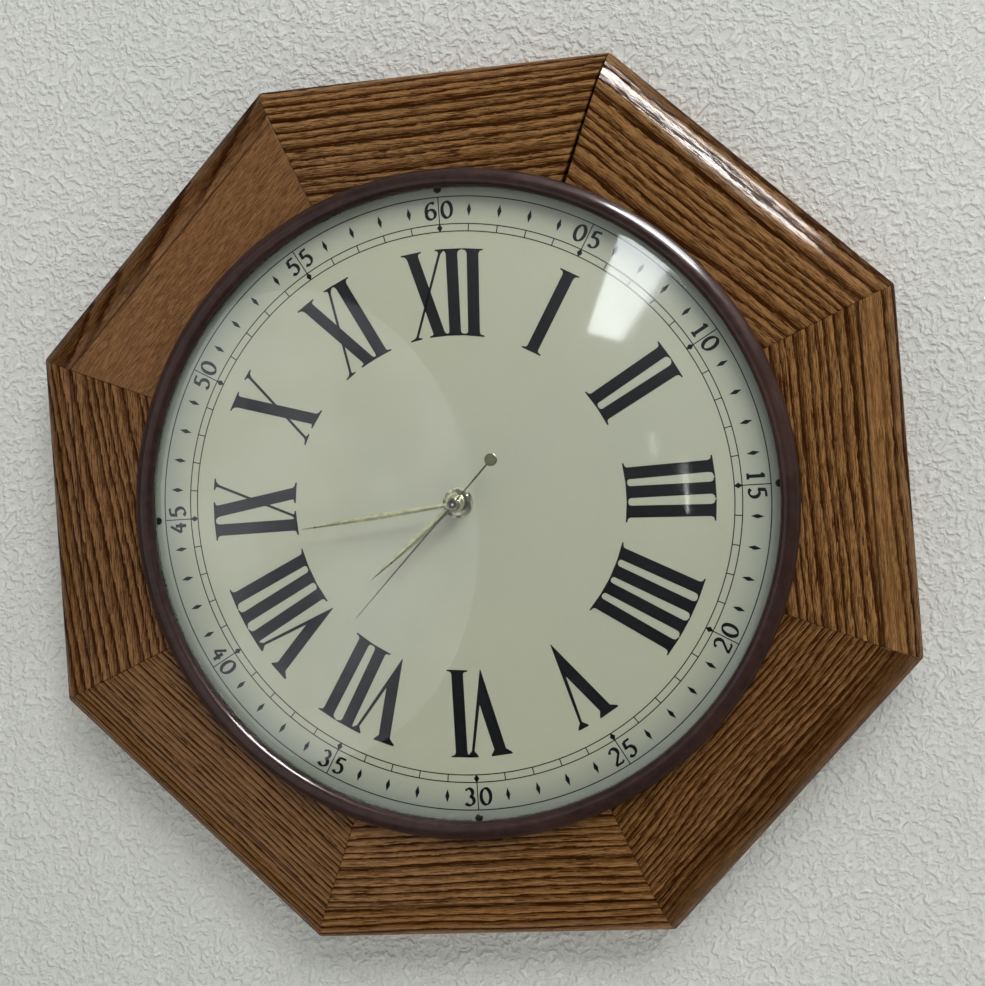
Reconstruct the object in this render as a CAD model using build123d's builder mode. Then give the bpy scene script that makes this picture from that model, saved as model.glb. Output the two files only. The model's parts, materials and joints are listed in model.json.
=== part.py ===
"""Octagonal oak schoolhouse wall clock with a battery quartz movement.

Millimetres. The origin is where the hand axis meets the wall. X runs to the right as seen from the front,
Z is up and the dial faces along -Y. A distance called "forward" is measured from the wall towards the room,
so a point that is 40 forward has y = -40. Clock angles run clockwise from twelve o'clock.
"""

import os
from math import cos, pi, radians, sin, sqrt, tan

from build123d import *

# ---------------------------------------------------------------- oak frame
ACROSS_FLATS = 406.4
SEGMENT_COUNT = 8
SEGMENT_STEP = 360.0 / SEGMENT_COUNT
SEGMENT_NAMES = (
    "oak_segment_top",
    "oak_segment_top_right",
    "oak_segment_right",
    "oak_segment_bottom_right",
    "oak_segment_bottom",
    "oak_segment_bottom_left",
    "oak_segment_left",
    "oak_segment_top_left",
)
APOTHEM = ACROSS_FLATS / 2
WOOD_BACK = 2.0
FACE = 40.0
ROUND_OVER = 20.0
OPENING_RADIUS = 128.0
BLANK_INNER = 108.0
ARRIS = 1.2

BISCUIT_LENGTH = 46.0
BISCUIT_WIDTH = 15.0
BISCUIT_THICKNESS = 3.4
BISCUIT_RADIUS = 172.0
BISCUIT_BACK = 16.0
SLOT_CLEARANCE = 0.2

# ---------------------------------------------------------------- dial and its backing
BOARD_RADIUS = 136.0
BOARD_THICKNESS = 3.2
BOARD_BACK = FACE - BOARD_THICKNESS
BOARD_CLEARANCE = 0.2
BRAD_CIRCLE = 132.0
BRAD_RADIUS = 0.5
BRAD_HEAD_RADIUS = 1.1
BRAD_HEAD = 0.5
BRAD_TIP = 28.0

DIAL_RADIUS = 147.0
DIAL_THICKNESS = 0.6
DIAL_FRONT = FACE + DIAL_THICKNESS
DIAL_TURN = 0.4
CENTRE_HOLE_RADIUS = 4.15
NAIL_CIRCLE = 143.8
NAIL_RADIUS = 0.6
NAIL_HEAD_RADIUS = 1.7
NAIL_HEAD = 0.7
NAIL_HEAD_ROUND = 0.49
NAIL_TIP = 29.0
QUARTERS = (0.0, 90.0, 180.0, 270.0)

# ---------------------------------------------------------------- bezel and glass
BEZEL_RADIUS = 152.4
BEZEL_LIP_RADIUS = 143.5
BEZEL_BORE_RADIUS = 147.4
BEZEL_HEIGHT = 10.0
BEZEL_FRONT = FACE + BEZEL_HEIGHT
BEZEL_OUTER_ROUND = 5.5
BEZEL_LIP_ROUND = 2.5
LIP_BACK = 46.3
PEG_CIRCLE = 149.9
PEG_RADIUS = 2.0
PEG_BACK = 30.0
PEG_CLEARANCE = 0.1
PEG_ANGLES = (45.0, 135.0, 225.0, 315.0)
BEZEL_SCREW_RADIUS = 1.1
BEZEL_SCREW_TIP = 37.0
BEZEL_SCREW_HEAD_RADIUS = 3.2
BEZEL_SCREW_HEAD = 2.0
COUNTERBORE_RADIUS = 4.5
COUNTERBORE_FLOOR = 29.0

GLASS_THICKNESS = 2.0
GLASS_RADIUS = 146.8
FLANGE_FRONT = 45.5
FLANGE_BACK = FLANGE_FRONT - GLASS_THICKNESS
DOME_EDGE_RADIUS = 143.2
DOME_RISE = 24.0
GASKET_INNER = 143.8
GASKET_OUTER = 147.2
RETAINER_INNER = 144.0
RETAINER_OUTER = 147.3
RETAINER_THICKNESS = 1.3
RETAINER_GAP = 8.0

# ---------------------------------------------------------------- wall fixings
HANGER_HEIGHT = 178.0
HANGER_WIDTH = 50.0
HANGER_DEPTH = 20.0
HANGER_THICKNESS = 1.5
HANGER_CORNER = 4.0
HANGER_FRONT = WOOD_BACK + HANGER_THICKNESS
KEYHOLE_ENTRY_RADIUS = 5.0
KEYHOLE_SLOT_WIDTH = 5.0
KEYHOLE_TRAVEL = 8.0
KEYHOLE_DROP = 3.5
POCKET_WIDTH = 14.0
POCKET_FLOOR = 13.0
HANGER_SCREW_SPAN = 19.0
HANGER_SCREW_RADIUS = 1.4
HANGER_SCREW_HEAD_RADIUS = 2.8
HANGER_SCREW_HEAD = 1.2
HANGER_SCREW_TIP = 15.0
BUMPER_RADIUS = 6.0
BUMPER_CIRCLE = 180.0
BUMPER_ROUND = 0.6

# ---------------------------------------------------------------- cross recess, as shares of the screw head
RECESS_REACH = 1.2
RECESS_WIDTH = 0.25
RECESS_DEPTH = 0.5

# ---------------------------------------------------------------- movement case
CASE_HALF = 28.0
CASE_WALL = 1.2
CASE_FRONT = 35.8
CASE_INNER_FRONT = CASE_FRONT - CASE_WALL
CASE_BACK = 21.0
CASE_CORNER = 4.0
ROOM_FLOOR = -10.4
BAY_CEILING = -11.6
COVER_BACK = CASE_BACK - CASE_WALL
PIVOT_DEPTH = 0.8
RUNNING_CLEARANCE = 0.05
BOSS_RADIUS = 2.4
COVER_SCREW_RADIUS = 1.0
COVER_SCREW_HEAD_RADIUS = 1.9
COVER_SCREW_HEAD = 1.0
COVER_SCREW_TIP = 27.0
COVER_SCREWS = ((-24.8, 24.8), (24.8, 24.8), (-13.0, -7.4), (24.8, -7.0))
SCREW_HOLE_SPARE = 0.5
CONTACT_WAY = 3.0
CONTACT_WAY_FRONT = 25.0
RIB_WIDTH = 1.2
RIB_LENGTH = 20.0
RIB_COUNT = 6
RIB_PITCH = 3.0
RIB_HEIGHT = 0.5
LOWEST_RIB = 2.0

MID_PLATE_BACK = 28.8
MID_PLATE_FRONT = 29.8
MID_PLATE_MARGIN = 0.6
MID_PLATE_POSTS = ((-22.5, 9.0), (22.5, 9.0), (0.0, 23.6))
POST_RADIUS = 1.5
POST_PIN_RADIUS = 0.7
POST_PIN_BACK = 28.4
MID_PLATE_CORNER = 1.0
MID_PLATE_BOSS_GAP = 0.3

# ---------------------------------------------------------------- going train
TRAIN_MODULE = 0.3
PINION_TEETH = 8
INTERMEDIATE_TEETH = 40
SECONDS_TEETH = 48
THIRD_TEETH = 64
CENTRE_TEETH = 60
TRAIN_WHEEL_THICKNESS = 0.6
COLLAR = 0.25
THIRD_DIRECTION = 150.0
INTERMEDIATE_DIRECTION = 55.0
ROTOR_DIRECTION = 20.0
PIVOT_RADIUS = 0.35
PIVOT_GAP = 0.2
THIRD_HUB_RADIUS = 0.8
CLUTCH_WASHER_RADIUS = 2.6
WINDOW_CIRCLE_SHARE = 0.58
WINDOW_SHARE = 0.20

# ---------------------------------------------------------------- motion work
CANNON_TEETH = 12
MOTION_TEETH = 36
MOTION_PINION_TEETH = 10
HOUR_TEETH = 40
KNOB_TEETH = 12
MOTION_DISTANCE = 9.0
MOTION_DIRECTION = -10.0
MOTION_POST_RADIUS = 0.8
KNOB_DIRECTION = -20.0
KNOB_ARBOR_RADIUS = 1.0
KNOB_PIVOT_RADIUS = 0.6
KNOB_RADIUS = 5.2
KNOB_GROOVE_RADIUS = 0.45
KNOB_GROOVES = 20
KNOB_LENGTH = 4.0
KNOB_GAP = 0.3
CANNON_MODULE = 2 * MOTION_DISTANCE / (CANNON_TEETH + MOTION_TEETH)
HOUR_MODULE = 2 * MOTION_DISTANCE / (MOTION_PINION_TEETH + HOUR_TEETH)

# tooth form, as fractions of the module or of the half pitch
ADDENDUM = 0.75
DEDENDUM = 1.1
TOOTH_AT_PITCH = 0.40
TOOTH_AT_TIP = 0.16
TOOTH_AT_ROOT = 0.42

# wheel planes, forward of the wall
HOUR_WHEEL_BACK = 33.5
HOUR_WHEEL_FRONT = 34.4
CANNON_BACK = 32.5
CANNON_FRONT = 33.3
CENTRE_WHEEL_BACK = 31.4
THIRD_WHEEL_BACK = 30.3
SECONDS_WHEEL_BACK = 27.7
INTERMEDIATE_BACK = 26.6

# shafts and tubes on the hand axis
BUSH_RADIUS = 3.95
BUSH_BORE = 2.60
BUSH_FRONT = 48.0
HOUR_PIPE_RADIUS = 2.55
HOUR_PIPE_BORE = 1.66
HOUR_PIPE_FRONT = 50.2
CANNON_RADIUS = 1.60
CANNON_BORE = 0.56
CANNON_TUBE_FRONT = 54.0
CANNON_TAIL_RADIUS = 1.20
CANNON_TAIL_BACK = 31.0
SECONDS_ARBOR_RADIUS = 0.50
SECONDS_ARBOR_FRONT = 57.0
ARBOR_BACK = 20.4

# ---------------------------------------------------------------- electric parts
STATOR_BACK = 24.5
STATOR_THICKNESS = 0.8
STATOR_BORE = 3.2
STATOR_RING = 5.2
STATOR_BRIDGE = (26.0, 4.0)
STATOR_BRIDGE_CENTRE = (-0.5, 14.0)
STATOR_LEG_WIDTH = 4.0
STATOR_LEGS = ((-11.5, 12.0, 22.5), (15.0, 9.0, 22.5))
STATOR_POST_RADIUS = 1.4
STATOR_PIN_RADIUS = 0.7
STATOR_PIN_REACH = 0.5
MAGNET_RADIUS = 2.8
MAGNET_BACK = 23.4
MAGNET_FRONT = 25.9
ROTOR_ARBOR_RADIUS = 0.30
ROTOR_PINION_FRONT = 27.4
COIL_HEIGHT = 20.5
STATOR_POSTS = ((-11.5, COIL_HEIGHT), (15.0, COIL_HEIGHT))
COIL_CORE_WIDTH = 3.0
COIL_LEFT = -8.0
COIL_RIGHT = 11.5
COIL_FLANGE = 0.8
COIL_FLANGE_SIZE = (5.8, 6.2)
COIL_RADIUS = 2.8
SPOOL_RADIUS = 1.95
CORE_LEFT = -13.5
CORE_RIGHT = 17.0
CORE_THICKNESS = 0.8
BOARD_PEGS = ((-20.5, -1.5), (-20.5, 16.0))
BOARD_PEG_RADIUS = 0.6
BOARD_POST_RADIUS = 1.2
BOARD_PEG_REACH = 0.4
PCB_BACK = 22.6
PCB_THICKNESS = 0.8
PCB_SIZE = (9.0, 22.0)
PCB_CENTRE = (-19.5, 7.0)
CHIP_OFFSET = (0.6, -2.4)
CHIP_RADIUS = 2.2
CHIP_HEIGHT = 1.1
CHIP_ROUND = 0.8
CRYSTAL_OFFSET = (1.0, 1.5)
CRYSTAL_RADIUS = 1.0
CRYSTAL_LENGTH = 6.0

BATTERY_RADIUS = 7.1
BATTERY_FORWARD = 27.3
BATTERY_HEIGHT = -19.2
BATTERY_LEFT = -24.0
BATTERY_RIGHT = 25.0
BUTTON_RADIUS = 2.75
BUTTON_END = 26.15
BATTERY_EDGE = 0.6
CONTACT_THICKNESS = 0.3
CONTACT_GAP = 0.2
CONTACT_BACK = 21.6
CONTACT_TONGUE_FRONT = 24.4
CONTACT_FRONT = 33.6
CONTACT_BOTTOM = -24.6
CONTACT_TOP = -13.4
TONGUE_BOTTOM = -13.5
TAB_BOTTOM = -3.8
TAB_TOP = -2.8
RAIL_WIDTH = 2.0
LEAF_HEIGHT = 6.4
LEAF_BOTTOM = -22.4
LEAF_FORWARD = 27.3
LEAF_HALF = 4.9
LEAF_CREST_HALF = 0.7
LEAF_GAP = 0.05

# ---------------------------------------------------------------- front of the hand axis
RUBBER_RADIUS = 9.0
WASHER_RADIUS = 7.0
WASHER_THICKNESS = 0.5
WASHER_FRONT = DIAL_FRONT + WASHER_THICKNESS
NUT_ACROSS_FLATS = 11.0
NUT_THICKNESS = 2.5
HAND_THICKNESS = 0.4
HAND_HUB_RADIUS = 3.6
HAND_GAP = 0.4
TIP_HALF_WIDTH = 0.15
HOUR_HAND_BACK = 49.2
HOUR_HUB_RADIUS = 4.2
HOUR_COLLAR_RADIUS = 3.25
HOUR_COLLAR_BACK = 48.3
HOUR_BLADE = (0.9, 1.6, 24.0)
MINUTE_HAND_BACK = 51.4
MINUTE_COLLAR_RADIUS = 2.4
MINUTE_BLADE = (0.8, 1.35, 38.0)
MINUTE_NUT_RADIUS = 2.9
MINUTE_NUT_THICKNESS = 1.8
MINUTE_NUT_GROOVES = 18
MINUTE_NUT_GROOVE_RADIUS = 0.18
SECOND_HAND_BACK = 56.4
SECOND_BLADE = (0.5, 0.42, 20.0)
SECOND_TAIL = (0.4, 0.3, 8.0)
SECOND_HUB_THICKNESS = 1.0
SECOND_HUB_CUP_RADIUS = 1.9
SECOND_HUB_CUP_DEPTH = 0.4
SECOND_TUBE_RADIUS = 1.1
HOUR_ANGLE = 232.0
MINUTE_ANGLE = 264.5
SECOND_ANGLE = 224.8
HOUR_LENGTH = 51.7
MINUTE_LENGTH = 72.0
SECOND_LENGTH = 67.4
TAIL_LENGTH = 26.4
COUNTERWEIGHT_RADIUS = 2.9

AXIS_TO_WALL = Plane(origin=(0, 0, 0), x_dir=(1, 0, 0), z_dir=(0, 0, -1))


def facing(forward, x=0.0, z=0.0, turn=0.0):
    """Plane parallel to the wall and looking to the front, turned anticlockwise by turn degrees."""
    angle = radians(turn)
    return Plane(origin=(x, -forward, z), x_dir=(cos(angle), 0, sin(angle)), z_dir=(0, -1, 0))


def around(radius, clock_angle):
    """Point (x, z) at a clock angle around the hand axis."""
    angle = radians(clock_angle)
    return radius * sin(angle), radius * cos(angle)


def offset_point(start, distance, direction):
    """Point (x, z) a distance away from start, direction anticlockwise from +X in degrees."""
    angle = radians(direction)
    return start[0] + distance * cos(angle), start[1] + distance * sin(angle)


def tube(back, front, outer, inner=0.0, x=0.0, z=0.0, mode=Mode.ADD):
    """Round bar or tube along the hand axis direction, in the part being built."""
    with BuildSketch(facing(back, x, z)) as profile:
        Circle(outer)
        if inner:
            Circle(inner, mode=Mode.SUBTRACT)
    extrude(profile.sketch, amount=front - back, mode=mode)


def plate(back, front, width, height, x=0.0, z=0.0, corner=0.0, mode=Mode.ADD):
    """Flat rectangular plate parallel to the wall."""
    with BuildSketch(facing(back, x, z)) as profile:
        if corner:
            RectangleRounded(width, height, corner)
        else:
            Rectangle(width, height)
    extrude(profile.sketch, amount=front - back, mode=mode)


def bar(x_range, forward_range, z_range, mode=Mode.ADD):
    """Rectangular bar between two limits in each direction."""
    width = x_range[1] - x_range[0]
    height = z_range[1] - z_range[0]
    plate(
        forward_range[0],
        forward_range[1],
        width,
        height,
        x=x_range[0] + width / 2,
        z=z_range[0] + height / 2,
        mode=mode,
    )


def screw(head_back, head_front, head_radius, tip, shank_radius, x, z):
    """Pan-head screw driven forwards, with a cross recess in its head."""
    tube(head_back, head_front, head_radius, x=x, z=z)
    tube(head_front, tip, shank_radius, x=x, z=z)
    with BuildSketch(facing(head_back, x, z)) as recess:
        Rectangle(head_radius * RECESS_REACH, head_radius * RECESS_WIDTH)
        Rectangle(head_radius * RECESS_WIDTH, head_radius * RECESS_REACH)
    extrude(recess.sketch, amount=(head_front - head_back) * RECESS_DEPTH, mode=Mode.SUBTRACT)


def toothed(back, front, teeth, module, phase, bore=0.0, centre=(0.0, 0.0), windows=0):
    """Spur wheel or pinion; phase is the direction of one tooth, anticlockwise from +X in radians."""
    pitch_radius = teeth * module / 2
    outline = []
    steps = (
        (pitch_radius - DEDENDUM * module, -TOOTH_AT_ROOT),
        (pitch_radius, -TOOTH_AT_PITCH),
        (pitch_radius + ADDENDUM * module, -TOOTH_AT_TIP),
        (pitch_radius + ADDENDUM * module, TOOTH_AT_TIP),
        (pitch_radius, TOOTH_AT_PITCH),
        (pitch_radius - DEDENDUM * module, TOOTH_AT_ROOT),
    )
    for tooth in range(teeth):
        for radius, share in steps:
            angle = phase + (2 * tooth + share) * pi / teeth
            outline.append((radius * cos(angle), radius * sin(angle)))
    with BuildSketch(facing(back, centre[0], centre[1])) as profile:
        with BuildLine():
            Polyline(*outline, close=True)
        make_face()
        if bore:
            Circle(bore, mode=Mode.SUBTRACT)
        if windows:
            with PolarLocations(pitch_radius * WINDOW_CIRCLE_SHARE, windows):
                Circle(pitch_radius * WINDOW_SHARE, mode=Mode.SUBTRACT)
    extrude(profile.sketch, amount=front - back)


def meshing_phase(teeth, phase, other_teeth, direction):
    """Phase of the wheel that meshes with one of known phase; direction is from it to the new wheel."""
    pitch = 2 * pi / teeth
    lead = ((radians(direction) - phase) % pitch) / pitch
    return radians(direction) + pi + (lead + 0.5) * 2 * pi / other_teeth


def save(solid, name):
    """Label one finished piece and write it out."""
    solid.label = name
    export_step(solid, f"parts/{name}.step")


os.makedirs("parts", exist_ok=True)

# ================================================================ oak frame
half_length = APOTHEM * tan(radians(SEGMENT_STEP / 2))

for index, segment_name in enumerate(SEGMENT_NAMES):
    heading = SEGMENT_STEP * index
    angle = radians(heading)
    section = Plane(origin=(0, 0, 0), x_dir=(sin(angle), 0, cos(angle)), z_dir=(cos(angle), 0, -sin(angle)))
    with BuildPart() as segment:
        # the moulding: flat face, large round-over, square side, eased back arris
        with BuildSketch(section):
            with BuildLine():
                Polyline(
                    (APOTHEM, FACE - ROUND_OVER),
                    (APOTHEM, WOOD_BACK + ARRIS),
                    (APOTHEM - ARRIS, WOOD_BACK),
                    (BLANK_INNER, WOOD_BACK),
                    (BLANK_INNER, FACE),
                    (APOTHEM - ROUND_OVER, FACE),
                )
                CenterArc((APOTHEM - ROUND_OVER, FACE - ROUND_OVER), ROUND_OVER, 0, 90)
            make_face()
        extrude(amount=half_length, both=True)
        # mitred ends and the round opening
        with BuildSketch(facing(0.0, turn=-heading)):
            with BuildLine():
                Polyline((0, 0), (half_length, APOTHEM), (-half_length, APOTHEM), close=True)
            make_face()
            Circle(OPENING_RADIUS, mode=Mode.SUBTRACT)
        extrude(amount=FACE, mode=Mode.INTERSECT)
        # rebate that takes the backing board
        tube(BOARD_BACK, FACE, BOARD_RADIUS + BOARD_CLEARANCE, mode=Mode.SUBTRACT)
        # half a biscuit slot in each mitre
        for side in (-0.5, 0.5):
            mitre_angle = heading + side * SEGMENT_STEP
            x, z = around(BISCUIT_RADIUS, mitre_angle)
            with BuildSketch(facing(BISCUIT_BACK - SLOT_CLEARANCE, x, z, turn=-mitre_angle)):
                Ellipse(BISCUIT_WIDTH / 2 + SLOT_CLEARANCE, BISCUIT_LENGTH / 2 + SLOT_CLEARANCE)
            extrude(amount=BISCUIT_THICKNESS + 2 * SLOT_CLEARANCE, mode=Mode.SUBTRACT)
        x, z = around(BRAD_CIRCLE, heading)
        tube(BRAD_TIP, BOARD_BACK, BRAD_RADIUS, x=x, z=z, mode=Mode.SUBTRACT)
        if heading in PEG_ANGLES:
            x, z = around(PEG_CIRCLE, heading)
            tube(WOOD_BACK, COUNTERBORE_FLOOR, COUNTERBORE_RADIUS, x=x, z=z, mode=Mode.SUBTRACT)
            tube(COUNTERBORE_FLOOR, FACE, PEG_RADIUS + PEG_CLEARANCE, x=x, z=z, mode=Mode.SUBTRACT)
        if heading in QUARTERS:
            x, z = around(NAIL_CIRCLE, heading + DIAL_TURN)
            tube(NAIL_TIP, FACE, NAIL_RADIUS, x=x, z=z, mode=Mode.SUBTRACT)
        if index == 0:
            # recess, pocket and pilot holes for the keyhole hanger
            plate(
                WOOD_BACK,
                HANGER_FRONT,
                HANGER_WIDTH,
                HANGER_DEPTH,
                z=HANGER_HEIGHT,
                corner=HANGER_CORNER,
                mode=Mode.SUBTRACT,
            )
            with BuildSketch(facing(HANGER_FRONT, 0, HANGER_HEIGHT, turn=90)):
                SlotOverall(POCKET_WIDTH + KEYHOLE_TRAVEL / 2, POCKET_WIDTH)
            extrude(amount=POCKET_FLOOR - HANGER_FRONT, mode=Mode.SUBTRACT)
            for side in (-1, 1):
                tube(
                    HANGER_FRONT,
                    HANGER_SCREW_TIP,
                    HANGER_SCREW_RADIUS,
                    x=side * HANGER_SCREW_SPAN,
                    z=HANGER_HEIGHT,
                    mode=Mode.SUBTRACT,
                )
    save(segment.part, segment_name)

with BuildPart() as mitre_biscuits:
    for index in range(SEGMENT_COUNT):
        mitre_angle = SEGMENT_STEP * (index + 0.5)
        x, z = around(BISCUIT_RADIUS, mitre_angle)
        with BuildSketch(facing(BISCUIT_BACK, x, z, turn=-mitre_angle)):
            Ellipse(BISCUIT_WIDTH / 2, BISCUIT_LENGTH / 2)
        extrude(amount=BISCUIT_THICKNESS)
save(mitre_biscuits.part, "mitre_biscuits")

# ================================================================ wall fixings
with BuildPart() as keyhole_hanger:
    with BuildSketch(facing(WOOD_BACK, 0, HANGER_HEIGHT)):
        RectangleRounded(HANGER_WIDTH, HANGER_DEPTH, HANGER_CORNER)
        with Locations((0, -KEYHOLE_DROP)):
            Circle(KEYHOLE_ENTRY_RADIUS, mode=Mode.SUBTRACT)
        with Locations((0, -KEYHOLE_DROP + KEYHOLE_TRAVEL / 2)):
            Rectangle(KEYHOLE_SLOT_WIDTH, KEYHOLE_TRAVEL, mode=Mode.SUBTRACT)
        with Locations((0, -KEYHOLE_DROP + KEYHOLE_TRAVEL)):
            Circle(KEYHOLE_SLOT_WIDTH / 2, mode=Mode.SUBTRACT)
        with Locations((-HANGER_SCREW_SPAN, 0), (HANGER_SCREW_SPAN, 0)):
            Circle(HANGER_SCREW_RADIUS, mode=Mode.SUBTRACT)
    extrude(amount=HANGER_THICKNESS)
save(keyhole_hanger.part, "keyhole_hanger")

with BuildPart() as hanger_screws:
    for side in (-1, 1):
        screw(
            WOOD_BACK - HANGER_SCREW_HEAD,
            WOOD_BACK,
            HANGER_SCREW_HEAD_RADIUS,
            HANGER_SCREW_TIP,
            HANGER_SCREW_RADIUS,
            side * HANGER_SCREW_SPAN,
            HANGER_HEIGHT,
        )
save(hanger_screws.part, "hanger_screws")

with BuildPart() as wall_bumpers:
    for bumper_angle in PEG_ANGLES:
        x, z = around(BUMPER_CIRCLE, bumper_angle)
        tube(0.0, WOOD_BACK, BUMPER_RADIUS, x=x, z=z)
    fillet(wall_bumpers.edges().group_by(Axis.Y)[-1], BUMPER_ROUND)
save(wall_bumpers.part, "wall_bumpers")

# ================================================================ dial and backing board
with BuildPart() as dial_backing_board:
    tube(BOARD_BACK, FACE, BOARD_RADIUS, inner=CENTRE_HOLE_RADIUS)
    for index in range(SEGMENT_COUNT):
        x, z = around(BRAD_CIRCLE, SEGMENT_STEP * index)
        tube(BOARD_BACK, FACE, BRAD_RADIUS, x=x, z=z, mode=Mode.SUBTRACT)
        tube(FACE - BRAD_HEAD, FACE, BRAD_HEAD_RADIUS, x=x, z=z, mode=Mode.SUBTRACT)
save(dial_backing_board.part, "dial_backing_board")

with BuildPart() as board_brads:
    for index in range(SEGMENT_COUNT):
        x, z = around(BRAD_CIRCLE, SEGMENT_STEP * index)
        tube(BRAD_TIP, FACE - BRAD_HEAD, BRAD_RADIUS, x=x, z=z)
        tube(FACE - BRAD_HEAD, FACE, BRAD_HEAD_RADIUS, x=x, z=z)
save(board_brads.part, "board_brads")

with BuildPart() as dial:
    tube(FACE, DIAL_FRONT, DIAL_RADIUS, inner=CENTRE_HOLE_RADIUS)
    for quarter in QUARTERS:
        x, z = around(NAIL_CIRCLE, quarter + DIAL_TURN)
        tube(FACE, DIAL_FRONT, NAIL_RADIUS, x=x, z=z, mode=Mode.SUBTRACT)
save(dial.part, "dial")

with BuildPart() as dial_nails:
    for quarter in QUARTERS:
        x, z = around(NAIL_CIRCLE, quarter + DIAL_TURN)
        tube(NAIL_TIP, DIAL_FRONT, NAIL_RADIUS, x=x, z=z)
        tube(DIAL_FRONT, DIAL_FRONT + NAIL_HEAD, NAIL_HEAD_RADIUS, x=x, z=z)
    fillet(dial_nails.edges().group_by(Axis.Y)[0], NAIL_HEAD_ROUND)
save(dial_nails.part, "dial_nails")

# ================================================================ bezel, glass and its fixings
with BuildPart() as bezel:
    with BuildSketch(AXIS_TO_WALL):
        with BuildLine():
            Polyline(
                (BEZEL_LIP_RADIUS, BEZEL_FRONT - BEZEL_LIP_ROUND),
                (BEZEL_LIP_RADIUS, LIP_BACK),
                (BEZEL_BORE_RADIUS, LIP_BACK),
                (BEZEL_BORE_RADIUS, FACE),
                (BEZEL_RADIUS, FACE),
                (BEZEL_RADIUS, BEZEL_FRONT - BEZEL_OUTER_ROUND),
            )
            CenterArc(
                (BEZEL_RADIUS - BEZEL_OUTER_ROUND, BEZEL_FRONT - BEZEL_OUTER_ROUND), BEZEL_OUTER_ROUND, 0, 90
            )
            Line(
                (BEZEL_RADIUS - BEZEL_OUTER_ROUND, BEZEL_FRONT),
                (BEZEL_LIP_RADIUS + BEZEL_LIP_ROUND, BEZEL_FRONT),
            )
            CenterArc(
                (BEZEL_LIP_RADIUS + BEZEL_LIP_ROUND, BEZEL_FRONT - BEZEL_LIP_ROUND), BEZEL_LIP_ROUND, 90, 90
            )
        make_face()
    revolve(axis=Axis.Y)
    for peg_angle in PEG_ANGLES:
        x, z = around(PEG_CIRCLE, peg_angle)
        tube(PEG_BACK, FACE, PEG_RADIUS, x=x, z=z)
        tube(PEG_BACK, BEZEL_SCREW_TIP, BEZEL_SCREW_RADIUS, x=x, z=z, mode=Mode.SUBTRACT)
save(bezel.part, "bezel")

with BuildPart() as bezel_screws:
    for peg_angle in PEG_ANGLES:
        x, z = around(PEG_CIRCLE, peg_angle)
        screw(
            COUNTERBORE_FLOOR - BEZEL_SCREW_HEAD,
            COUNTERBORE_FLOOR,
            BEZEL_SCREW_HEAD_RADIUS,
            BEZEL_SCREW_TIP,
            BEZEL_SCREW_RADIUS,
            x,
            z,
        )
save(bezel_screws.part, "bezel_screws")

with BuildPart() as glass_gasket:
    tube(FLANGE_FRONT, LIP_BACK, GASKET_OUTER, inner=GASKET_INNER)
save(glass_gasket.part, "glass_gasket")

dome_radius = (DOME_EDGE_RADIUS**2 + DOME_RISE**2) / (2 * DOME_RISE)
dome_centre = FLANGE_FRONT + DOME_RISE - dome_radius
inner_dome_radius = dome_radius - GLASS_THICKNESS
inner_edge_radius = sqrt(inner_dome_radius**2 - (FLANGE_BACK - dome_centre) ** 2)
mid_radius = DOME_EDGE_RADIUS / 2

with BuildPart() as glass:
    with BuildSketch(AXIS_TO_WALL):
        with BuildLine():
            Line((GLASS_RADIUS, FLANGE_BACK), (GLASS_RADIUS, FLANGE_FRONT))
            Line((GLASS_RADIUS, FLANGE_FRONT), (DOME_EDGE_RADIUS, FLANGE_FRONT))
            ThreePointArc(
                (DOME_EDGE_RADIUS, FLANGE_FRONT),
                (mid_radius, dome_centre + sqrt(dome_radius**2 - mid_radius**2)),
                (0, dome_centre + dome_radius),
            )
            Line((0, dome_centre + dome_radius), (0, dome_centre + inner_dome_radius))
            ThreePointArc(
                (0, dome_centre + inner_dome_radius),
                (mid_radius, dome_centre + sqrt(inner_dome_radius**2 - mid_radius**2)),
                (inner_edge_radius, FLANGE_BACK),
            )
            Line((inner_edge_radius, FLANGE_BACK), (GLASS_RADIUS, FLANGE_BACK))
        make_face()
    revolve(axis=Axis.Y)
save(glass.part, "glass")

with BuildPart() as glass_retaining_ring:
    tube(FLANGE_BACK - RETAINER_THICKNESS, FLANGE_BACK, RETAINER_OUTER, inner=RETAINER_INNER)
    with BuildSketch(facing(FLANGE_BACK - RETAINER_THICKNESS, 0, -RETAINER_OUTER)):
        Rectangle(RETAINER_GAP, RETAINER_OUTER - RETAINER_INNER + RETAINER_GAP)
    extrude(amount=RETAINER_THICKNESS, mode=Mode.SUBTRACT)
save(glass_retaining_ring.part, "glass_retaining_ring")

# ================================================================ layout of the movement
axis_point = (0.0, 0.0)
third_distance = TRAIN_MODULE * (PINION_TEETH + THIRD_TEETH) / 2
third_point = offset_point(axis_point, third_distance, THIRD_DIRECTION)
centre_module = 2 * third_distance / (PINION_TEETH + CENTRE_TEETH)
intermediate_distance = TRAIN_MODULE * (PINION_TEETH + SECONDS_TEETH) / 2
intermediate_point = offset_point(axis_point, intermediate_distance, INTERMEDIATE_DIRECTION)
rotor_distance = TRAIN_MODULE * (PINION_TEETH + INTERMEDIATE_TEETH) / 2
rotor_point = offset_point(intermediate_point, rotor_distance, ROTOR_DIRECTION)
motion_point = offset_point(axis_point, MOTION_DISTANCE, MOTION_DIRECTION)
knob_distance = CANNON_MODULE * (KNOB_TEETH + MOTION_TEETH) / 2
knob_point = offset_point(motion_point, knob_distance, KNOB_DIRECTION)

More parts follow.
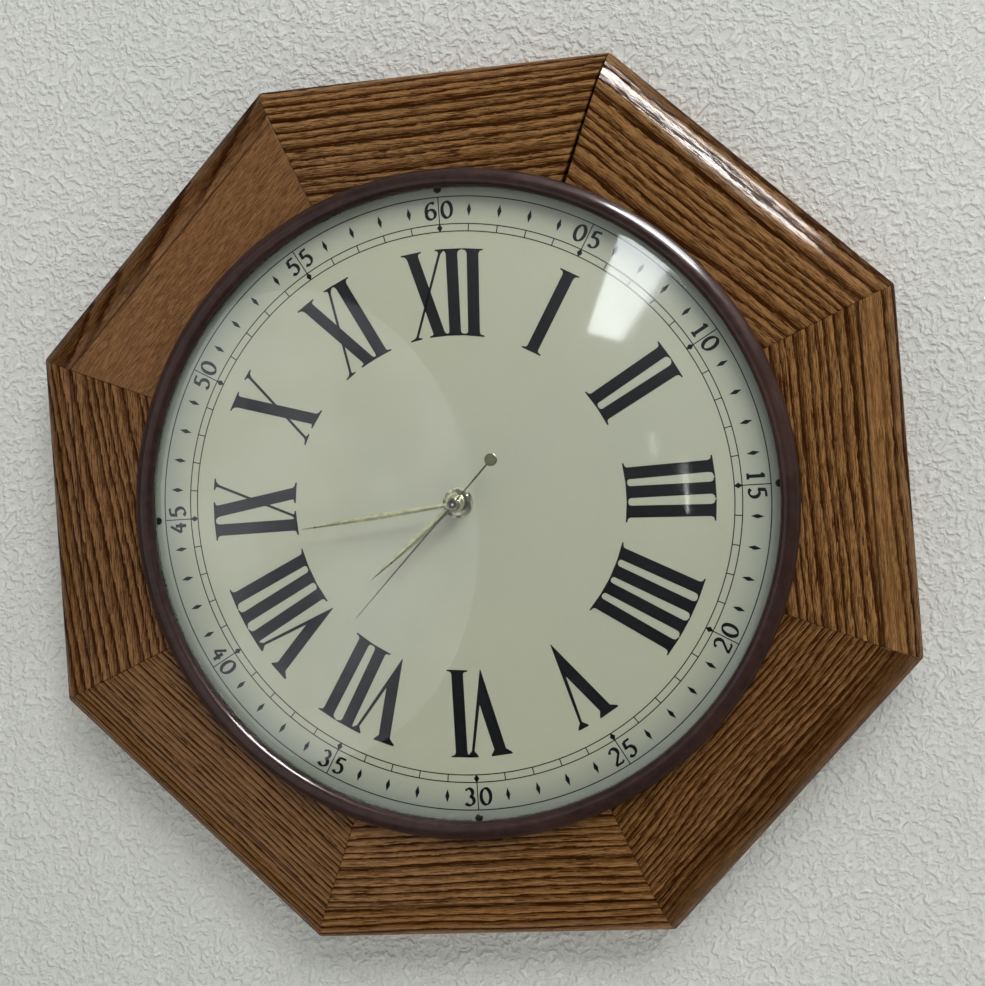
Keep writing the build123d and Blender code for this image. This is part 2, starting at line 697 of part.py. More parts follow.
# ================================================================ movement case, mid plate and cover
bay_middle = (BAY_CEILING - CASE_HALF + CASE_WALL) / 2
bay_height = BAY_CEILING + CASE_HALF - CASE_WALL
room_middle = (ROOM_FLOOR + CASE_HALF - CASE_WALL) / 2
room_height = CASE_HALF - CASE_WALL - ROOM_FLOOR
inner_width = 2 * (CASE_HALF - CASE_WALL)

with BuildPart() as movement_case:
    plate(CASE_BACK, CASE_FRONT, 2 * CASE_HALF, 2 * CASE_HALF, corner=CASE_CORNER)
    with BuildSketch(facing(COVER_BACK)):
        RectangleRounded(2 * CASE_HALF, 2 * CASE_HALF, CASE_CORNER)
        with Locations((0, CASE_HALF + BAY_CEILING)):
            Rectangle(2 * CASE_HALF, 2 * CASE_HALF, mode=Mode.SUBTRACT)
    extrude(amount=CASE_WALL)
    plate(CASE_BACK, CASE_INNER_FRONT, inner_width, room_height, z=room_middle, mode=Mode.SUBTRACT)
    plate(COVER_BACK, CASE_INNER_FRONT, inner_width, bay_height, z=bay_middle, mode=Mode.SUBTRACT)
    for x, z in COVER_SCREWS:
        tube(CASE_BACK, CASE_INNER_FRONT, BOSS_RADIUS, x=x, z=z)
        tube(CASE_BACK, COVER_SCREW_TIP, COVER_SCREW_RADIUS, x=x, z=z, mode=Mode.SUBTRACT)
    for x, z in MID_PLATE_POSTS:
        tube(MID_PLATE_FRONT, CASE_INNER_FRONT, POST_RADIUS, x=x, z=z)
        tube(POST_PIN_BACK, MID_PLATE_FRONT, POST_PIN_RADIUS, x=x, z=z)
    # post for the motion wheel, bush hole, pivot holes
    tube(CANNON_BACK - LEAF_GAP, CASE_INNER_FRONT, MOTION_POST_RADIUS, x=motion_point[0], z=motion_point[1])
    tube(CASE_INNER_FRONT, CASE_FRONT, BUSH_RADIUS, mode=Mode.SUBTRACT)
    for point, radius in ((third_point, PIVOT_RADIUS), (knob_point, KNOB_PIVOT_RADIUS)):
        tube(
            CASE_INNER_FRONT,
            CASE_INNER_FRONT + PIVOT_DEPTH,
            radius + RUNNING_CLEARANCE,
            x=point[0],
            z=point[1],
            mode=Mode.SUBTRACT,
        )
    # ways through the dividing wall for the two battery contacts
    for way_left in (-inner_width / 2, inner_width / 2 - CONTACT_WAY):
        bar(
            (way_left, way_left + CONTACT_WAY),
            (CASE_BACK, CONTACT_WAY_FRONT),
            (BAY_CEILING, ROOM_FLOOR),
            mode=Mode.SUBTRACT,
        )
save(movement_case.part, "movement_case")

plate_width = inner_width - 2 * MID_PLATE_MARGIN
plate_height = room_height - 2 * MID_PLATE_MARGIN
stator_front = STATOR_BACK + STATOR_THICKNESS
core_back = STATOR_BACK - CORE_THICKNESS

with BuildPart() as mid_plate:
    plate(MID_PLATE_BACK, MID_PLATE_FRONT, plate_width, plate_height, z=room_middle, corner=MID_PLATE_CORNER)
    for x, z in COVER_SCREWS:
        tube(MID_PLATE_BACK, MID_PLATE_FRONT, BOSS_RADIUS + MID_PLATE_BOSS_GAP, x=x, z=z, mode=Mode.SUBTRACT)
    for x, z in MID_PLATE_POSTS:
        tube(MID_PLATE_BACK, MID_PLATE_FRONT, POST_PIN_RADIUS, x=x, z=z, mode=Mode.SUBTRACT)
    for point, radius in (
        (axis_point, SECONDS_ARBOR_RADIUS),
        (third_point, PIVOT_RADIUS),
        (intermediate_point, PIVOT_RADIUS),
        (rotor_point, ROTOR_ARBOR_RADIUS),
        (knob_point, KNOB_ARBOR_RADIUS),
    ):
        tube(
            MID_PLATE_BACK,
            MID_PLATE_FRONT,
            radius + RUNNING_CLEARANCE,
            x=point[0],
            z=point[1],
            mode=Mode.SUBTRACT,
        )
    for x, z in STATOR_POSTS:
        tube(stator_front, MID_PLATE_BACK, STATOR_POST_RADIUS, x=x, z=z)
        tube(core_back - STATOR_PIN_REACH, stator_front, STATOR_PIN_RADIUS, x=x, z=z)
    for x, z in BOARD_PEGS:
        tube(PCB_BACK + PCB_THICKNESS, MID_PLATE_BACK, BOARD_POST_RADIUS, x=x, z=z)
        tube(PCB_BACK - BOARD_PEG_REACH, PCB_BACK + PCB_THICKNESS, BOARD_PEG_RADIUS, x=x, z=z)
save(mid_plate.part, "mid_plate")

with BuildPart() as movement_rear_cover:
    with BuildSketch(facing(COVER_BACK)):
        RectangleRounded(2 * CASE_HALF, 2 * CASE_HALF, CASE_CORNER)
        with Locations((0, -CASE_HALF)):
            Rectangle(2 * CASE_HALF, 2 * (CASE_HALF + BAY_CEILING), mode=Mode.SUBTRACT)
    extrude(amount=CASE_WALL)
    for point, radius in (
        (axis_point, SECONDS_ARBOR_RADIUS),
        (intermediate_point, PIVOT_RADIUS),
        (rotor_point, ROTOR_ARBOR_RADIUS),
    ):
        tube(
            CASE_BACK - PIVOT_DEPTH,
            CASE_BACK,
            radius + RUNNING_CLEARANCE,
            x=point[0],
            z=point[1],
            mode=Mode.SUBTRACT,
        )
    tube(
        COVER_BACK,
        CASE_BACK,
        KNOB_ARBOR_RADIUS + RUNNING_CLEARANCE,
        x=knob_point[0],
        z=knob_point[1],
        mode=Mode.SUBTRACT,
    )
    for x, z in COVER_SCREWS:
        tube(COVER_BACK, CASE_BACK, COVER_SCREW_RADIUS, x=x, z=z, mode=Mode.SUBTRACT)
    for rib in range(RIB_COUNT):
        height = LOWEST_RIB + RIB_PITCH * rib
        bar(
            (-RIB_LENGTH, 0.0),
            (COVER_BACK - RIB_HEIGHT, COVER_BACK),
            (height, height + RIB_WIDTH),
        )
save(movement_rear_cover.part, "movement_rear_cover")

with BuildPart() as cover_screws:
    for x, z in COVER_SCREWS:
        screw(
            COVER_BACK - COVER_SCREW_HEAD,
            COVER_BACK,
            COVER_SCREW_HEAD_RADIUS,
            COVER_SCREW_TIP - SCREW_HOLE_SPARE,
            COVER_SCREW_RADIUS,
            x,
            z,
        )
save(cover_screws.part, "cover_screws")

# ================================================================ bush and its nut
with BuildPart() as threaded_bush:
    tube(CASE_INNER_FRONT, BUSH_FRONT, BUSH_RADIUS, inner=BUSH_BORE)
save(threaded_bush.part, "threaded_bush")

with BuildPart() as rubber_washer:
    tube(CASE_FRONT, BOARD_BACK, RUBBER_RADIUS, inner=BUSH_RADIUS)
save(rubber_washer.part, "rubber_washer")

with BuildPart() as bush_washer:
    tube(DIAL_FRONT, WASHER_FRONT, WASHER_RADIUS, inner=BUSH_RADIUS)
save(bush_washer.part, "bush_washer")

with BuildPart() as hex_nut:
    with BuildSketch(facing(WASHER_FRONT)):
        RegularPolygon(NUT_ACROSS_FLATS / 2, 6, major_radius=False)
        Circle(BUSH_RADIUS, mode=Mode.SUBTRACT)
    extrude(amount=NUT_THICKNESS)
save(hex_nut.part, "hex_nut")

# ================================================================ motion work
cannon_phase = radians(MOTION_DIRECTION)
motion_phase = meshing_phase(CANNON_TEETH, cannon_phase, MOTION_TEETH, MOTION_DIRECTION)
knob_phase = meshing_phase(MOTION_TEETH, motion_phase, KNOB_TEETH, KNOB_DIRECTION)
motion_pinion_phase = radians(MOTION_DIRECTION) + pi
hour_phase = meshing_phase(MOTION_PINION_TEETH, motion_pinion_phase, HOUR_TEETH, MOTION_DIRECTION + 180.0)

with BuildPart() as hour_wheel:
    toothed(HOUR_WHEEL_BACK, HOUR_WHEEL_FRONT, HOUR_TEETH, HOUR_MODULE, hour_phase)
    tube(HOUR_WHEEL_FRONT, HOUR_PIPE_FRONT, HOUR_PIPE_RADIUS)
    tube(HOUR_WHEEL_BACK, HOUR_PIPE_FRONT, HOUR_PIPE_BORE, mode=Mode.SUBTRACT)
save(hour_wheel.part, "hour_wheel")

with BuildPart() as motion_wheel:
    toothed(CANNON_BACK, CANNON_FRONT, MOTION_TEETH, CANNON_MODULE, motion_phase, centre=motion_point)
    toothed(
        CANNON_FRONT,
        HOUR_WHEEL_FRONT,
        MOTION_PINION_TEETH,
        HOUR_MODULE,
        motion_pinion_phase,
        centre=motion_point,
    )
    tube(
        CANNON_BACK,
        HOUR_WHEEL_FRONT,
        MOTION_POST_RADIUS + RUNNING_CLEARANCE,
        x=motion_point[0],
        z=motion_point[1],
        mode=Mode.SUBTRACT,
    )
save(motion_wheel.part, "motion_wheel")

with BuildPart() as minute_cannon:
    tube(CANNON_TAIL_BACK, CANNON_BACK, CANNON_TAIL_RADIUS)
    toothed(CANNON_BACK, CANNON_FRONT, CANNON_TEETH, CANNON_MODULE, cannon_phase)
    tube(CANNON_FRONT, CANNON_TUBE_FRONT, CANNON_RADIUS)
    tube(CANNON_TAIL_BACK, CANNON_TUBE_FRONT, CANNON_BORE, mode=Mode.SUBTRACT)
save(minute_cannon.part, "minute_cannon")

with BuildPart() as setting_knob:
    toothed(CANNON_BACK, CANNON_FRONT, KNOB_TEETH, CANNON_MODULE, knob_phase, centre=knob_point)
    tube(COVER_BACK - KNOB_GAP, CANNON_BACK, KNOB_ARBOR_RADIUS, x=knob_point[0], z=knob_point[1])
    pivot_tip = CASE_INNER_FRONT + PIVOT_DEPTH - PIVOT_GAP
    tube(CANNON_FRONT, pivot_tip, KNOB_PIVOT_RADIUS, x=knob_point[0], z=knob_point[1])
    with BuildSketch(facing(COVER_BACK - KNOB_GAP - KNOB_LENGTH, knob_point[0], knob_point[1])):
        Circle(KNOB_RADIUS)
        with PolarLocations(KNOB_RADIUS, KNOB_GROOVES):
            Circle(KNOB_GROOVE_RADIUS, mode=Mode.SUBTRACT)
    extrude(amount=KNOB_LENGTH)
save(setting_knob.part, "setting_knob")

# ================================================================ going train
rotor_phase = radians(ROTOR_DIRECTION)
intermediate_phase = meshing_phase(PINION_TEETH, rotor_phase, INTERMEDIATE_TEETH, ROTOR_DIRECTION + 180.0)
intermediate_pinion_phase = radians(INTERMEDIATE_DIRECTION)
seconds_phase = meshing_phase(
    PINION_TEETH, intermediate_pinion_phase, SECONDS_TEETH, INTERMEDIATE_DIRECTION + 180.0
)
seconds_pinion_phase = radians(THIRD_DIRECTION)
third_phase = meshing_phase(PINION_TEETH, seconds_pinion_phase, THIRD_TEETH, THIRD_DIRECTION)
third_pinion_phase = radians(THIRD_DIRECTION) + pi
centre_phase = meshing_phase(PINION_TEETH, third_pinion_phase, CENTRE_TEETH, THIRD_DIRECTION + 180.0)

with BuildPart() as centre_wheel:
    toothed(
        CENTRE_WHEEL_BACK,
        CENTRE_WHEEL_BACK + TRAIN_WHEEL_THICKNESS,
        CENTRE_TEETH,
        centre_module,
        centre_phase,
        bore=CANNON_TAIL_RADIUS + RUNNING_CLEARANCE,
        windows=5,
    )
save(centre_wheel.part, "centre_wheel")

with BuildPart() as clutch_washer:
    tube(
        CENTRE_WHEEL_BACK + TRAIN_WHEEL_THICKNESS,
        CANNON_BACK - RUNNING_CLEARANCE,
        CLUTCH_WASHER_RADIUS,
        inner=CANNON_TAIL_RADIUS + RUNNING_CLEARANCE,
    )
save(clutch_washer.part, "clutch_washer")

with BuildPart() as third_wheel:
    toothed(
        THIRD_WHEEL_BACK,
        THIRD_WHEEL_BACK + TRAIN_WHEEL_THICKNESS,
        THIRD_TEETH,
        TRAIN_MODULE,
        third_phase,
        centre=third_point,
        windows=5,
    )
    toothed(
        THIRD_WHEEL_BACK + TRAIN_WHEEL_THICKNESS + COLLAR,
        CENTRE_WHEEL_BACK + TRAIN_WHEEL_THICKNESS + COLLAR,
        PINION_TEETH,
        centre_module,
        third_pinion_phase,
        centre=third_point,
    )
    tube(THIRD_WHEEL_BACK, CENTRE_WHEEL_BACK, THIRD_HUB_RADIUS, x=third_point[0], z=third_point[1])
    tube(
        MID_PLATE_BACK + PIVOT_GAP,
        CASE_INNER_FRONT + PIVOT_DEPTH - PIVOT_GAP,
        PIVOT_RADIUS,
        x=third_point[0],
        z=third_point[1],
    )
save(third_wheel.part, "third_wheel")

with BuildPart() as seconds_wheel:
    toothed(
        SECONDS_WHEEL_BACK,
        SECONDS_WHEEL_BACK + TRAIN_WHEEL_THICKNESS,
        SECONDS_TEETH,
        TRAIN_MODULE,
        seconds_phase,
        windows=4,
    )
    toothed(
        MID_PLATE_FRONT + PIVOT_GAP,
        THIRD_WHEEL_BACK + TRAIN_WHEEL_THICKNESS,
        PINION_TEETH,
        TRAIN_MODULE,
        seconds_pinion_phase,
    )
    tube(ARBOR_BACK, SECONDS_ARBOR_FRONT, SECONDS_ARBOR_RADIUS)
save(seconds_wheel.part, "seconds_wheel")

with BuildPart() as intermediate_wheel:
    toothed(
        INTERMEDIATE_BACK,
        INTERMEDIATE_BACK + TRAIN_WHEEL_THICKNESS,
        INTERMEDIATE_TEETH,
        TRAIN_MODULE,
        intermediate_phase,
        centre=intermediate_point,
        windows=4,
    )
    toothed(
        INTERMEDIATE_BACK + TRAIN_WHEEL_THICKNESS,
        SECONDS_WHEEL_BACK + TRAIN_WHEEL_THICKNESS + COLLAR,
        PINION_TEETH,
        TRAIN_MODULE,
        intermediate_pinion_phase,
        centre=intermediate_point,
    )
    tube(
        ARBOR_BACK,
        MID_PLATE_FRONT - PIVOT_GAP,
        PIVOT_RADIUS,
        x=intermediate_point[0],
        z=intermediate_point[1],
    )
save(intermediate_wheel.part, "intermediate_wheel")

with BuildPart() as rotor:
    toothed(MAGNET_FRONT, ROTOR_PINION_FRONT, PINION_TEETH, TRAIN_MODULE, rotor_phase, centre=rotor_point)
    tube(MAGNET_BACK, MAGNET_FRONT, MAGNET_RADIUS, x=rotor_point[0], z=rotor_point[1])
    tube(ARBOR_BACK, MID_PLATE_FRONT - PIVOT_GAP, ROTOR_ARBOR_RADIUS, x=rotor_point[0], z=rotor_point[1])
save(rotor.part, "rotor")

# ================================================================ electric parts
with BuildPart() as stator:
    with BuildSketch(facing(STATOR_BACK)):
        with Locations(STATOR_BRIDGE_CENTRE):
            Rectangle(*STATOR_BRIDGE)
        for x, bottom, top in STATOR_LEGS:
            with Locations((x, (bottom + top) / 2)):
                Rectangle(STATOR_LEG_WIDTH, top - bottom)
        with Locations(rotor_point):
            Circle(STATOR_RING)
            Circle(STATOR_BORE, mode=Mode.SUBTRACT)
        with Locations(*STATOR_POSTS):
            Circle(STATOR_PIN_RADIUS, mode=Mode.SUBTRACT)
    extrude(amount=STATOR_THICKNESS)
save(stator.part, "stator")

coil_middle = (COIL_LEFT + COIL_RIGHT) / 2
coil_forward = core_back + CORE_THICKNESS / 2

with BuildPart() as coil_core:
    bar(
        (CORE_LEFT, CORE_RIGHT),
        (core_back, STATOR_BACK),
        (COIL_HEIGHT - COIL_CORE_WIDTH / 2, COIL_HEIGHT + COIL_CORE_WIDTH / 2),
    )
    for x, z in STATOR_POSTS:
        tube(core_back, STATOR_BACK, STATOR_PIN_RADIUS, x=x, z=z, mode=Mode.SUBTRACT)
save(coil_core.part, "coil_core")


def across(x):
    """Plane square to the coil axis at a given x."""
    return Plane(origin=(x, -coil_forward, COIL_HEIGHT), x_dir=(0, 1, 0), z_dir=(1, 0, 0))


with BuildPart() as coil_spool:
    with BuildSketch(across(COIL_LEFT)):
        Circle(SPOOL_RADIUS)
    extrude(amount=COIL_RIGHT - COIL_LEFT)
    for x in (COIL_LEFT, COIL_RIGHT - COIL_FLANGE):
        with BuildSketch(across(x)):
            Rectangle(*COIL_FLANGE_SIZE)
        extrude(amount=COIL_FLANGE)
    with BuildSketch(across(COIL_LEFT)):
        Rectangle(CORE_THICKNESS, COIL_CORE_WIDTH)
    extrude(amount=COIL_RIGHT - COIL_LEFT, mode=Mode.SUBTRACT)
save(coil_spool.part, "coil_spool")

with BuildPart() as coil_winding:
    with BuildSketch(across(COIL_LEFT + COIL_FLANGE)):
        Circle(COIL_RADIUS)
        Circle(SPOOL_RADIUS, mode=Mode.SUBTRACT)
    extrude(amount=COIL_RIGHT - COIL_LEFT - 2 * COIL_FLANGE)
save(coil_winding.part, "coil_winding")

with BuildPart() as circuit_board:
    plate(PCB_BACK, PCB_BACK + PCB_THICKNESS, PCB_SIZE[0], PCB_SIZE[1], x=PCB_CENTRE[0], z=PCB_CENTRE[1])
    for x, z in BOARD_PEGS:
        tube(PCB_BACK, PCB_BACK + PCB_THICKNESS, BOARD_PEG_RADIUS, x=x, z=z, mode=Mode.SUBTRACT)
save(circuit_board.part, "circuit_board")

pcb_front = PCB_BACK + PCB_THICKNESS

with BuildPart() as driver_chip:
    chip_x = PCB_CENTRE[0] + CHIP_OFFSET[0]
    tube(pcb_front, pcb_front + CHIP_HEIGHT, CHIP_RADIUS, x=chip_x, z=PCB_CENTRE[1] + CHIP_OFFSET[1])
    fillet(driver_chip.edges().group_by(Axis.Y)[0], CHIP_ROUND)
save(driver_chip.part, "driver_chip")

crystal_x = PCB_CENTRE[0] + CRYSTAL_OFFSET[0]
crystal_foot = (crystal_x, -pcb_front - CRYSTAL_RADIUS, PCB_CENTRE[1] + CRYSTAL_OFFSET[1])

with BuildPart() as quartz_crystal:
    with BuildSketch(Plane(origin=crystal_foot, x_dir=(1, 0, 0), z_dir=(0, 0, 1))):
        Circle(CRYSTAL_RADIUS)
    extrude(amount=CRYSTAL_LENGTH)
save(quartz_crystal.part, "quartz_crystal")

# ================================================================ battery and contacts
contact_left = -CASE_HALF + CASE_WALL + CONTACT_GAP
contact_right = CASE_HALF - CASE_WALL - CONTACT_GAP
leaf_root = contact_left + CONTACT_THICKNESS
leaf_crest = BATTERY_LEFT - LEAF_GAP
rail_bottom = ROOM_FLOOR + CONTACT_GAP
rail_top = rail_bottom + CONTACT_THICKNESS

with BuildPart() as contact_negative:
    bar((contact_left, leaf_root), (CONTACT_BACK, CONTACT_FRONT), (CONTACT_BOTTOM, CONTACT_TOP))
    # bowed leaf that presses on the flat end of the battery
    with BuildSketch(Plane(origin=(0, 0, LEAF_BOTTOM), x_dir=(1, 0, 0), z_dir=(0, 0, 1))):
        with BuildLine():
            Polyline(
                (leaf_root - CONTACT_GAP, -LEAF_FORWARD - LEAF_HALF),
                (leaf_crest, -LEAF_FORWARD - LEAF_CREST_HALF),
                (leaf_crest, -LEAF_FORWARD + LEAF_CREST_HALF),
                (leaf_root - CONTACT_GAP, -LEAF_FORWARD + LEAF_HALF),
                (leaf_root - CONTACT_GAP, -LEAF_FORWARD + LEAF_HALF - CONTACT_THICKNESS),
                (leaf_crest - CONTACT_THICKNESS, -LEAF_FORWARD + LEAF_CREST_HALF / 2),
                (leaf_crest - CONTACT_THICKNESS, -LEAF_FORWARD - LEAF_CREST_HALF / 2),
                (leaf_root - CONTACT_GAP, -LEAF_FORWARD - LEAF_HALF + CONTACT_THICKNESS),
                close=True,
            )
        make_face()
    extrude(amount=LEAF_HEIGHT)
    bar((contact_left, leaf_root), (CONTACT_BACK, CONTACT_TONGUE_FRONT), (TONGUE_BOTTOM, TAB_TOP))
    bar((contact_left, PCB_CENTRE[0]), (PCB_BACK - CONTACT_THICKNESS, PCB_BACK), (TAB_BOTTOM, TAB_TOP))
save(contact_negative.part, "contact_negative")

with BuildPart() as contact_positive:
    right_leaf = (contact_right - CONTACT_THICKNESS, contact_right)
    bar(right_leaf, (CONTACT_BACK, CONTACT_FRONT), (CONTACT_BOTTOM, CONTACT_TOP))
    bar(right_leaf, (CONTACT_BACK, CONTACT_TONGUE_FRONT), (TONGUE_BOTTOM, rail_top))
    # rail along the floor of the wheel room to the circuit board
    tab_left = PCB_CENTRE[0] + 2 * CONTACT_GAP
    bar((tab_left, contact_right), (CONTACT_BACK, CONTACT_BACK + RAIL_WIDTH), (rail_bottom, rail_top))
    bar((tab_left, tab_left + RAIL_WIDTH), (PCB_BACK - CONTACT_THICKNESS, PCB_BACK), (rail_bottom, TAB_TOP))
save(contact_positive.part, "contact_positive")


def battery_end(x):
    """Plane square to the battery's axis at a given x."""
    return Plane(origin=(x, -BATTERY_FORWARD, BATTERY_HEIGHT), x_dir=(0, 1, 0), z_dir=(1, 0, 0))


with BuildPart() as battery:
    with BuildSketch(battery_end(BATTERY_LEFT)):
        Circle(BATTERY_RADIUS)
    extrude(amount=BATTERY_RIGHT - BATTERY_LEFT)
    fillet(battery.edges().filter_by(GeomType.CIRCLE), BATTERY_EDGE)
    with BuildSketch(battery_end(BATTERY_RIGHT)):
        Circle(BUTTON_RADIUS)
    extrude(amount=BUTTON_END - BATTERY_RIGHT)
save(battery.part, "battery")

# ================================================================ hands
def lance(back, length, angle, blade_form):
    """Slim blade from the hand axis to its tip; the form is half the root, half the belly, and its place."""
    root_half, belly_half, belly_at = blade_form
    with BuildSketch(facing(back, turn=-angle)) as blade:
        with BuildLine():
            Polyline(
                (-root_half, 0),
                (-belly_half, belly_at),
                (-TIP_HALF_WIDTH, length),
                (TIP_HALF_WIDTH, length),
                (belly_half, belly_at),
                (root_half, 0),
                close=True,
            )
        make_face()
    extrude(blade.sketch, amount=HAND_THICKNESS)


with BuildPart() as hour_hand:
    lance(HOUR_HAND_BACK, HOUR_LENGTH, HOUR_ANGLE, HOUR_BLADE)
    tube(HOUR_HAND_BACK, HOUR_HAND_BACK + HAND_THICKNESS, HOUR_HUB_RADIUS)
    tube(HOUR_COLLAR_BACK, HOUR_PIPE_FRONT, HOUR_COLLAR_RADIUS)
    tube(HOUR_COLLAR_BACK, HOUR_PIPE_FRONT, HOUR_PIPE_RADIUS, mode=Mode.SUBTRACT)
save(hour_hand.part, "hour_hand")

minute_hand_front = MINUTE_HAND_BACK + HAND_THICKNESS
minute_collar_back = HOUR_PIPE_FRONT + HAND_GAP

with BuildPart() as minute_hand:
    lance(MINUTE_HAND_BACK, MINUTE_LENGTH, MINUTE_ANGLE, MINUTE_BLADE)
    tube(MINUTE_HAND_BACK, minute_hand_front, HAND_HUB_RADIUS)
    tube(minute_collar_back, MINUTE_HAND_BACK, MINUTE_COLLAR_RADIUS)
    tube(minute_collar_back, minute_hand_front, CANNON_RADIUS, mode=Mode.SUBTRACT)
save(minute_hand.part, "minute_hand")

with BuildPart() as minute_hand_nut:
    with BuildSketch(facing(minute_hand_front)):
        Circle(MINUTE_NUT_RADIUS)
        with PolarLocations(MINUTE_NUT_RADIUS, MINUTE_NUT_GROOVES):
            Circle(MINUTE_NUT_GROOVE_RADIUS, mode=Mode.SUBTRACT)
        Circle(CANNON_RADIUS, mode=Mode.SUBTRACT)
    extrude(amount=MINUTE_NUT_THICKNESS)
save(minute_hand_nut.part, "minute_hand_nut")

second_hub_front = SECOND_HAND_BACK + SECOND_HUB_THICKNESS
second_tube_back = CANNON_TUBE_FRONT + HAND_GAP

with BuildPart() as second_hand:
    lance(SECOND_HAND_BACK, SECOND_LENGTH, SECOND_ANGLE, SECOND_BLADE)
    lance(SECOND_HAND_BACK, TAIL_LENGTH, SECOND_ANGLE + 180.0, SECOND_TAIL)
    x, z = around(TAIL_LENGTH, SECOND_ANGLE + 180.0)
    tube(SECOND_HAND_BACK, SECOND_HAND_BACK + HAND_THICKNESS, COUNTERWEIGHT_RADIUS, x=x, z=z)
    tube(SECOND_HAND_BACK, second_hub_front, COUNTERWEIGHT_RADIUS)
    tube(second_hub_front - SECOND_HUB_CUP_DEPTH, second_hub_front, SECOND_HUB_CUP_RADIUS, mode=Mode.SUBTRACT)
    tube(second_tube_back, SECOND_HAND_BACK, SECOND_TUBE_RADIUS)
    tube(second_tube_back, SECONDS_ARBOR_FRONT, SECONDS_ARBOR_RADIUS, mode=Mode.SUBTRACT)
save(second_hand.part, "second_hand")
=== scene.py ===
"""Looks of the octagonal oak wall clock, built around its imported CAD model.

Metres. The hand axis is the Y axis, the wall is at y = 0 and the dial faces along -Y. "Forward" is the
distance from the wall towards the room, and clock angles run clockwise from twelve, in degrees.
"""

import json
from math import acos, atan2, cos, degrees, hypot, pi, radians, sin, sqrt, tan

import bmesh
import bpy
from mathutils import Matrix, Vector, noise


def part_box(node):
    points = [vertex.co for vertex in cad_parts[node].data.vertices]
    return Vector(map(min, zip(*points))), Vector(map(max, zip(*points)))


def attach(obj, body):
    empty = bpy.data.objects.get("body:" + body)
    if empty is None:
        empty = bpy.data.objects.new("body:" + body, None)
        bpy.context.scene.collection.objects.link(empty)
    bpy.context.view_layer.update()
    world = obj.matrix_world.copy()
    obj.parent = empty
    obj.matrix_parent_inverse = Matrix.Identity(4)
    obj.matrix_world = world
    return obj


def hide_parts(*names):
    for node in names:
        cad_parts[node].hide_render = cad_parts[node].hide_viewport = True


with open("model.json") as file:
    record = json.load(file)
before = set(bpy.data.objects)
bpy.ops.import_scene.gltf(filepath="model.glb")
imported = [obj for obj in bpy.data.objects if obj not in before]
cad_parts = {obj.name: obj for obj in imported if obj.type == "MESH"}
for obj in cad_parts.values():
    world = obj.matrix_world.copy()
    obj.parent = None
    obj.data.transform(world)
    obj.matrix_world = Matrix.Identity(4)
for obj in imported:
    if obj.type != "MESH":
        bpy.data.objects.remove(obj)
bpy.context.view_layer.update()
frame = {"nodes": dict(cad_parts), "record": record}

MM = 0.001
ROOT = "clock_body"

# ---------------- sizes read from the frame
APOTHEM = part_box("oak_segment_top")[1].z
FACE = -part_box("oak_segment_top")[0].y
WOOD_BACK = -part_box("oak_segment_top")[1].y
DIAL_FRONT = -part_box("dial")[0].y
BEZEL_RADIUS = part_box("bezel")[1].x
BEZEL_FRONT = -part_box("bezel")[0].y
GLASS_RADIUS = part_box("glass")[1].x
GLASS_FRONT = -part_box("glass")[0].y
NUT_BACK = -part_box("hex_nut")[1].y
NUT_FRONT = -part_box("hex_nut")[0].y
BUSH_FRONT = -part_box("threaded_bush")[0].y
BUSH_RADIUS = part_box("threaded_bush")[1].x

# ---------------- shape of the woodwork
SEGMENTS = ("top", "top_right", "right", "bottom_right", "bottom", "bottom_left", "left", "top_left")
SEGMENT_ANGLE = 45.0
HALF_STEP = radians(SEGMENT_ANGLE / 2)
ROUND_OVER = 20 * MM
SHOULDER = APOTHEM - ROUND_OVER
STEP = 0.45 * MM
OPENING_RADIUS = 128 * MM
REBATE_RADIUS = 136.2 * MM
REBATE_FLOOR = 36.8 * MM
SIDE_ROW = 11 * MM
BORE_ROW = 20 * MM
BACK_ARRIS = 1.2 * MM
MITRE_ARRIS = 0.35 * MM
TIGHT_GAP = 0.03 * MM
OPEN_GAP = 0.3 * MM
OPEN_GAP_GROWTH = 0.75 * MM
PLANING = 0.12 * MM
SEGMENT_COLUMNS = 26


# ---------------- geometry helpers
WELD = 1e-6


def turned(local, clock, forward=0.0):
    """A point (across, outward) in a plane parallel to the dial, turned to a clock angle."""
    angle = radians(clock)
    across, outward = local
    x = across * cos(angle) + outward * sin(angle)
    z = outward * cos(angle) - across * sin(angle)
    return Vector((x, -forward, z))


def section(points, plane=0.0):
    """Section points given in mm as (radius, distance in front of a plane)."""
    return [(radius * MM, plane + distance * MM) for radius, distance in points]


def oval(centre, reach, start, end, steps):
    """Points of an oval arc in a plane, angles in degrees anticlockwise from the first axis."""
    points = []
    for step in range(steps + 1):
        angle = radians(start + (end - start) * step / steps)
        points.append((centre[0] + reach[0] * cos(angle), centre[1] + reach[1] * sin(angle)))
    return points


def arc(centre, radius, start, end, steps):
    """Points of a round arc."""
    return oval(centre, (radius, radius), start, end, steps)


def linked(name, data):
    """New object in the scene."""
    obj = bpy.data.objects.new(name, data)
    bpy.context.scene.collection.objects.link(obj)
    return obj


def mesh_object(name, bm):
    """Turns a bmesh into an object and frees it."""
    bmesh.ops.recalc_face_normals(bm, faces=bm.faces)
    mesh = bpy.data.meshes.new(name)
    bm.to_mesh(mesh)
    bm.free()
    return linked(name, mesh)


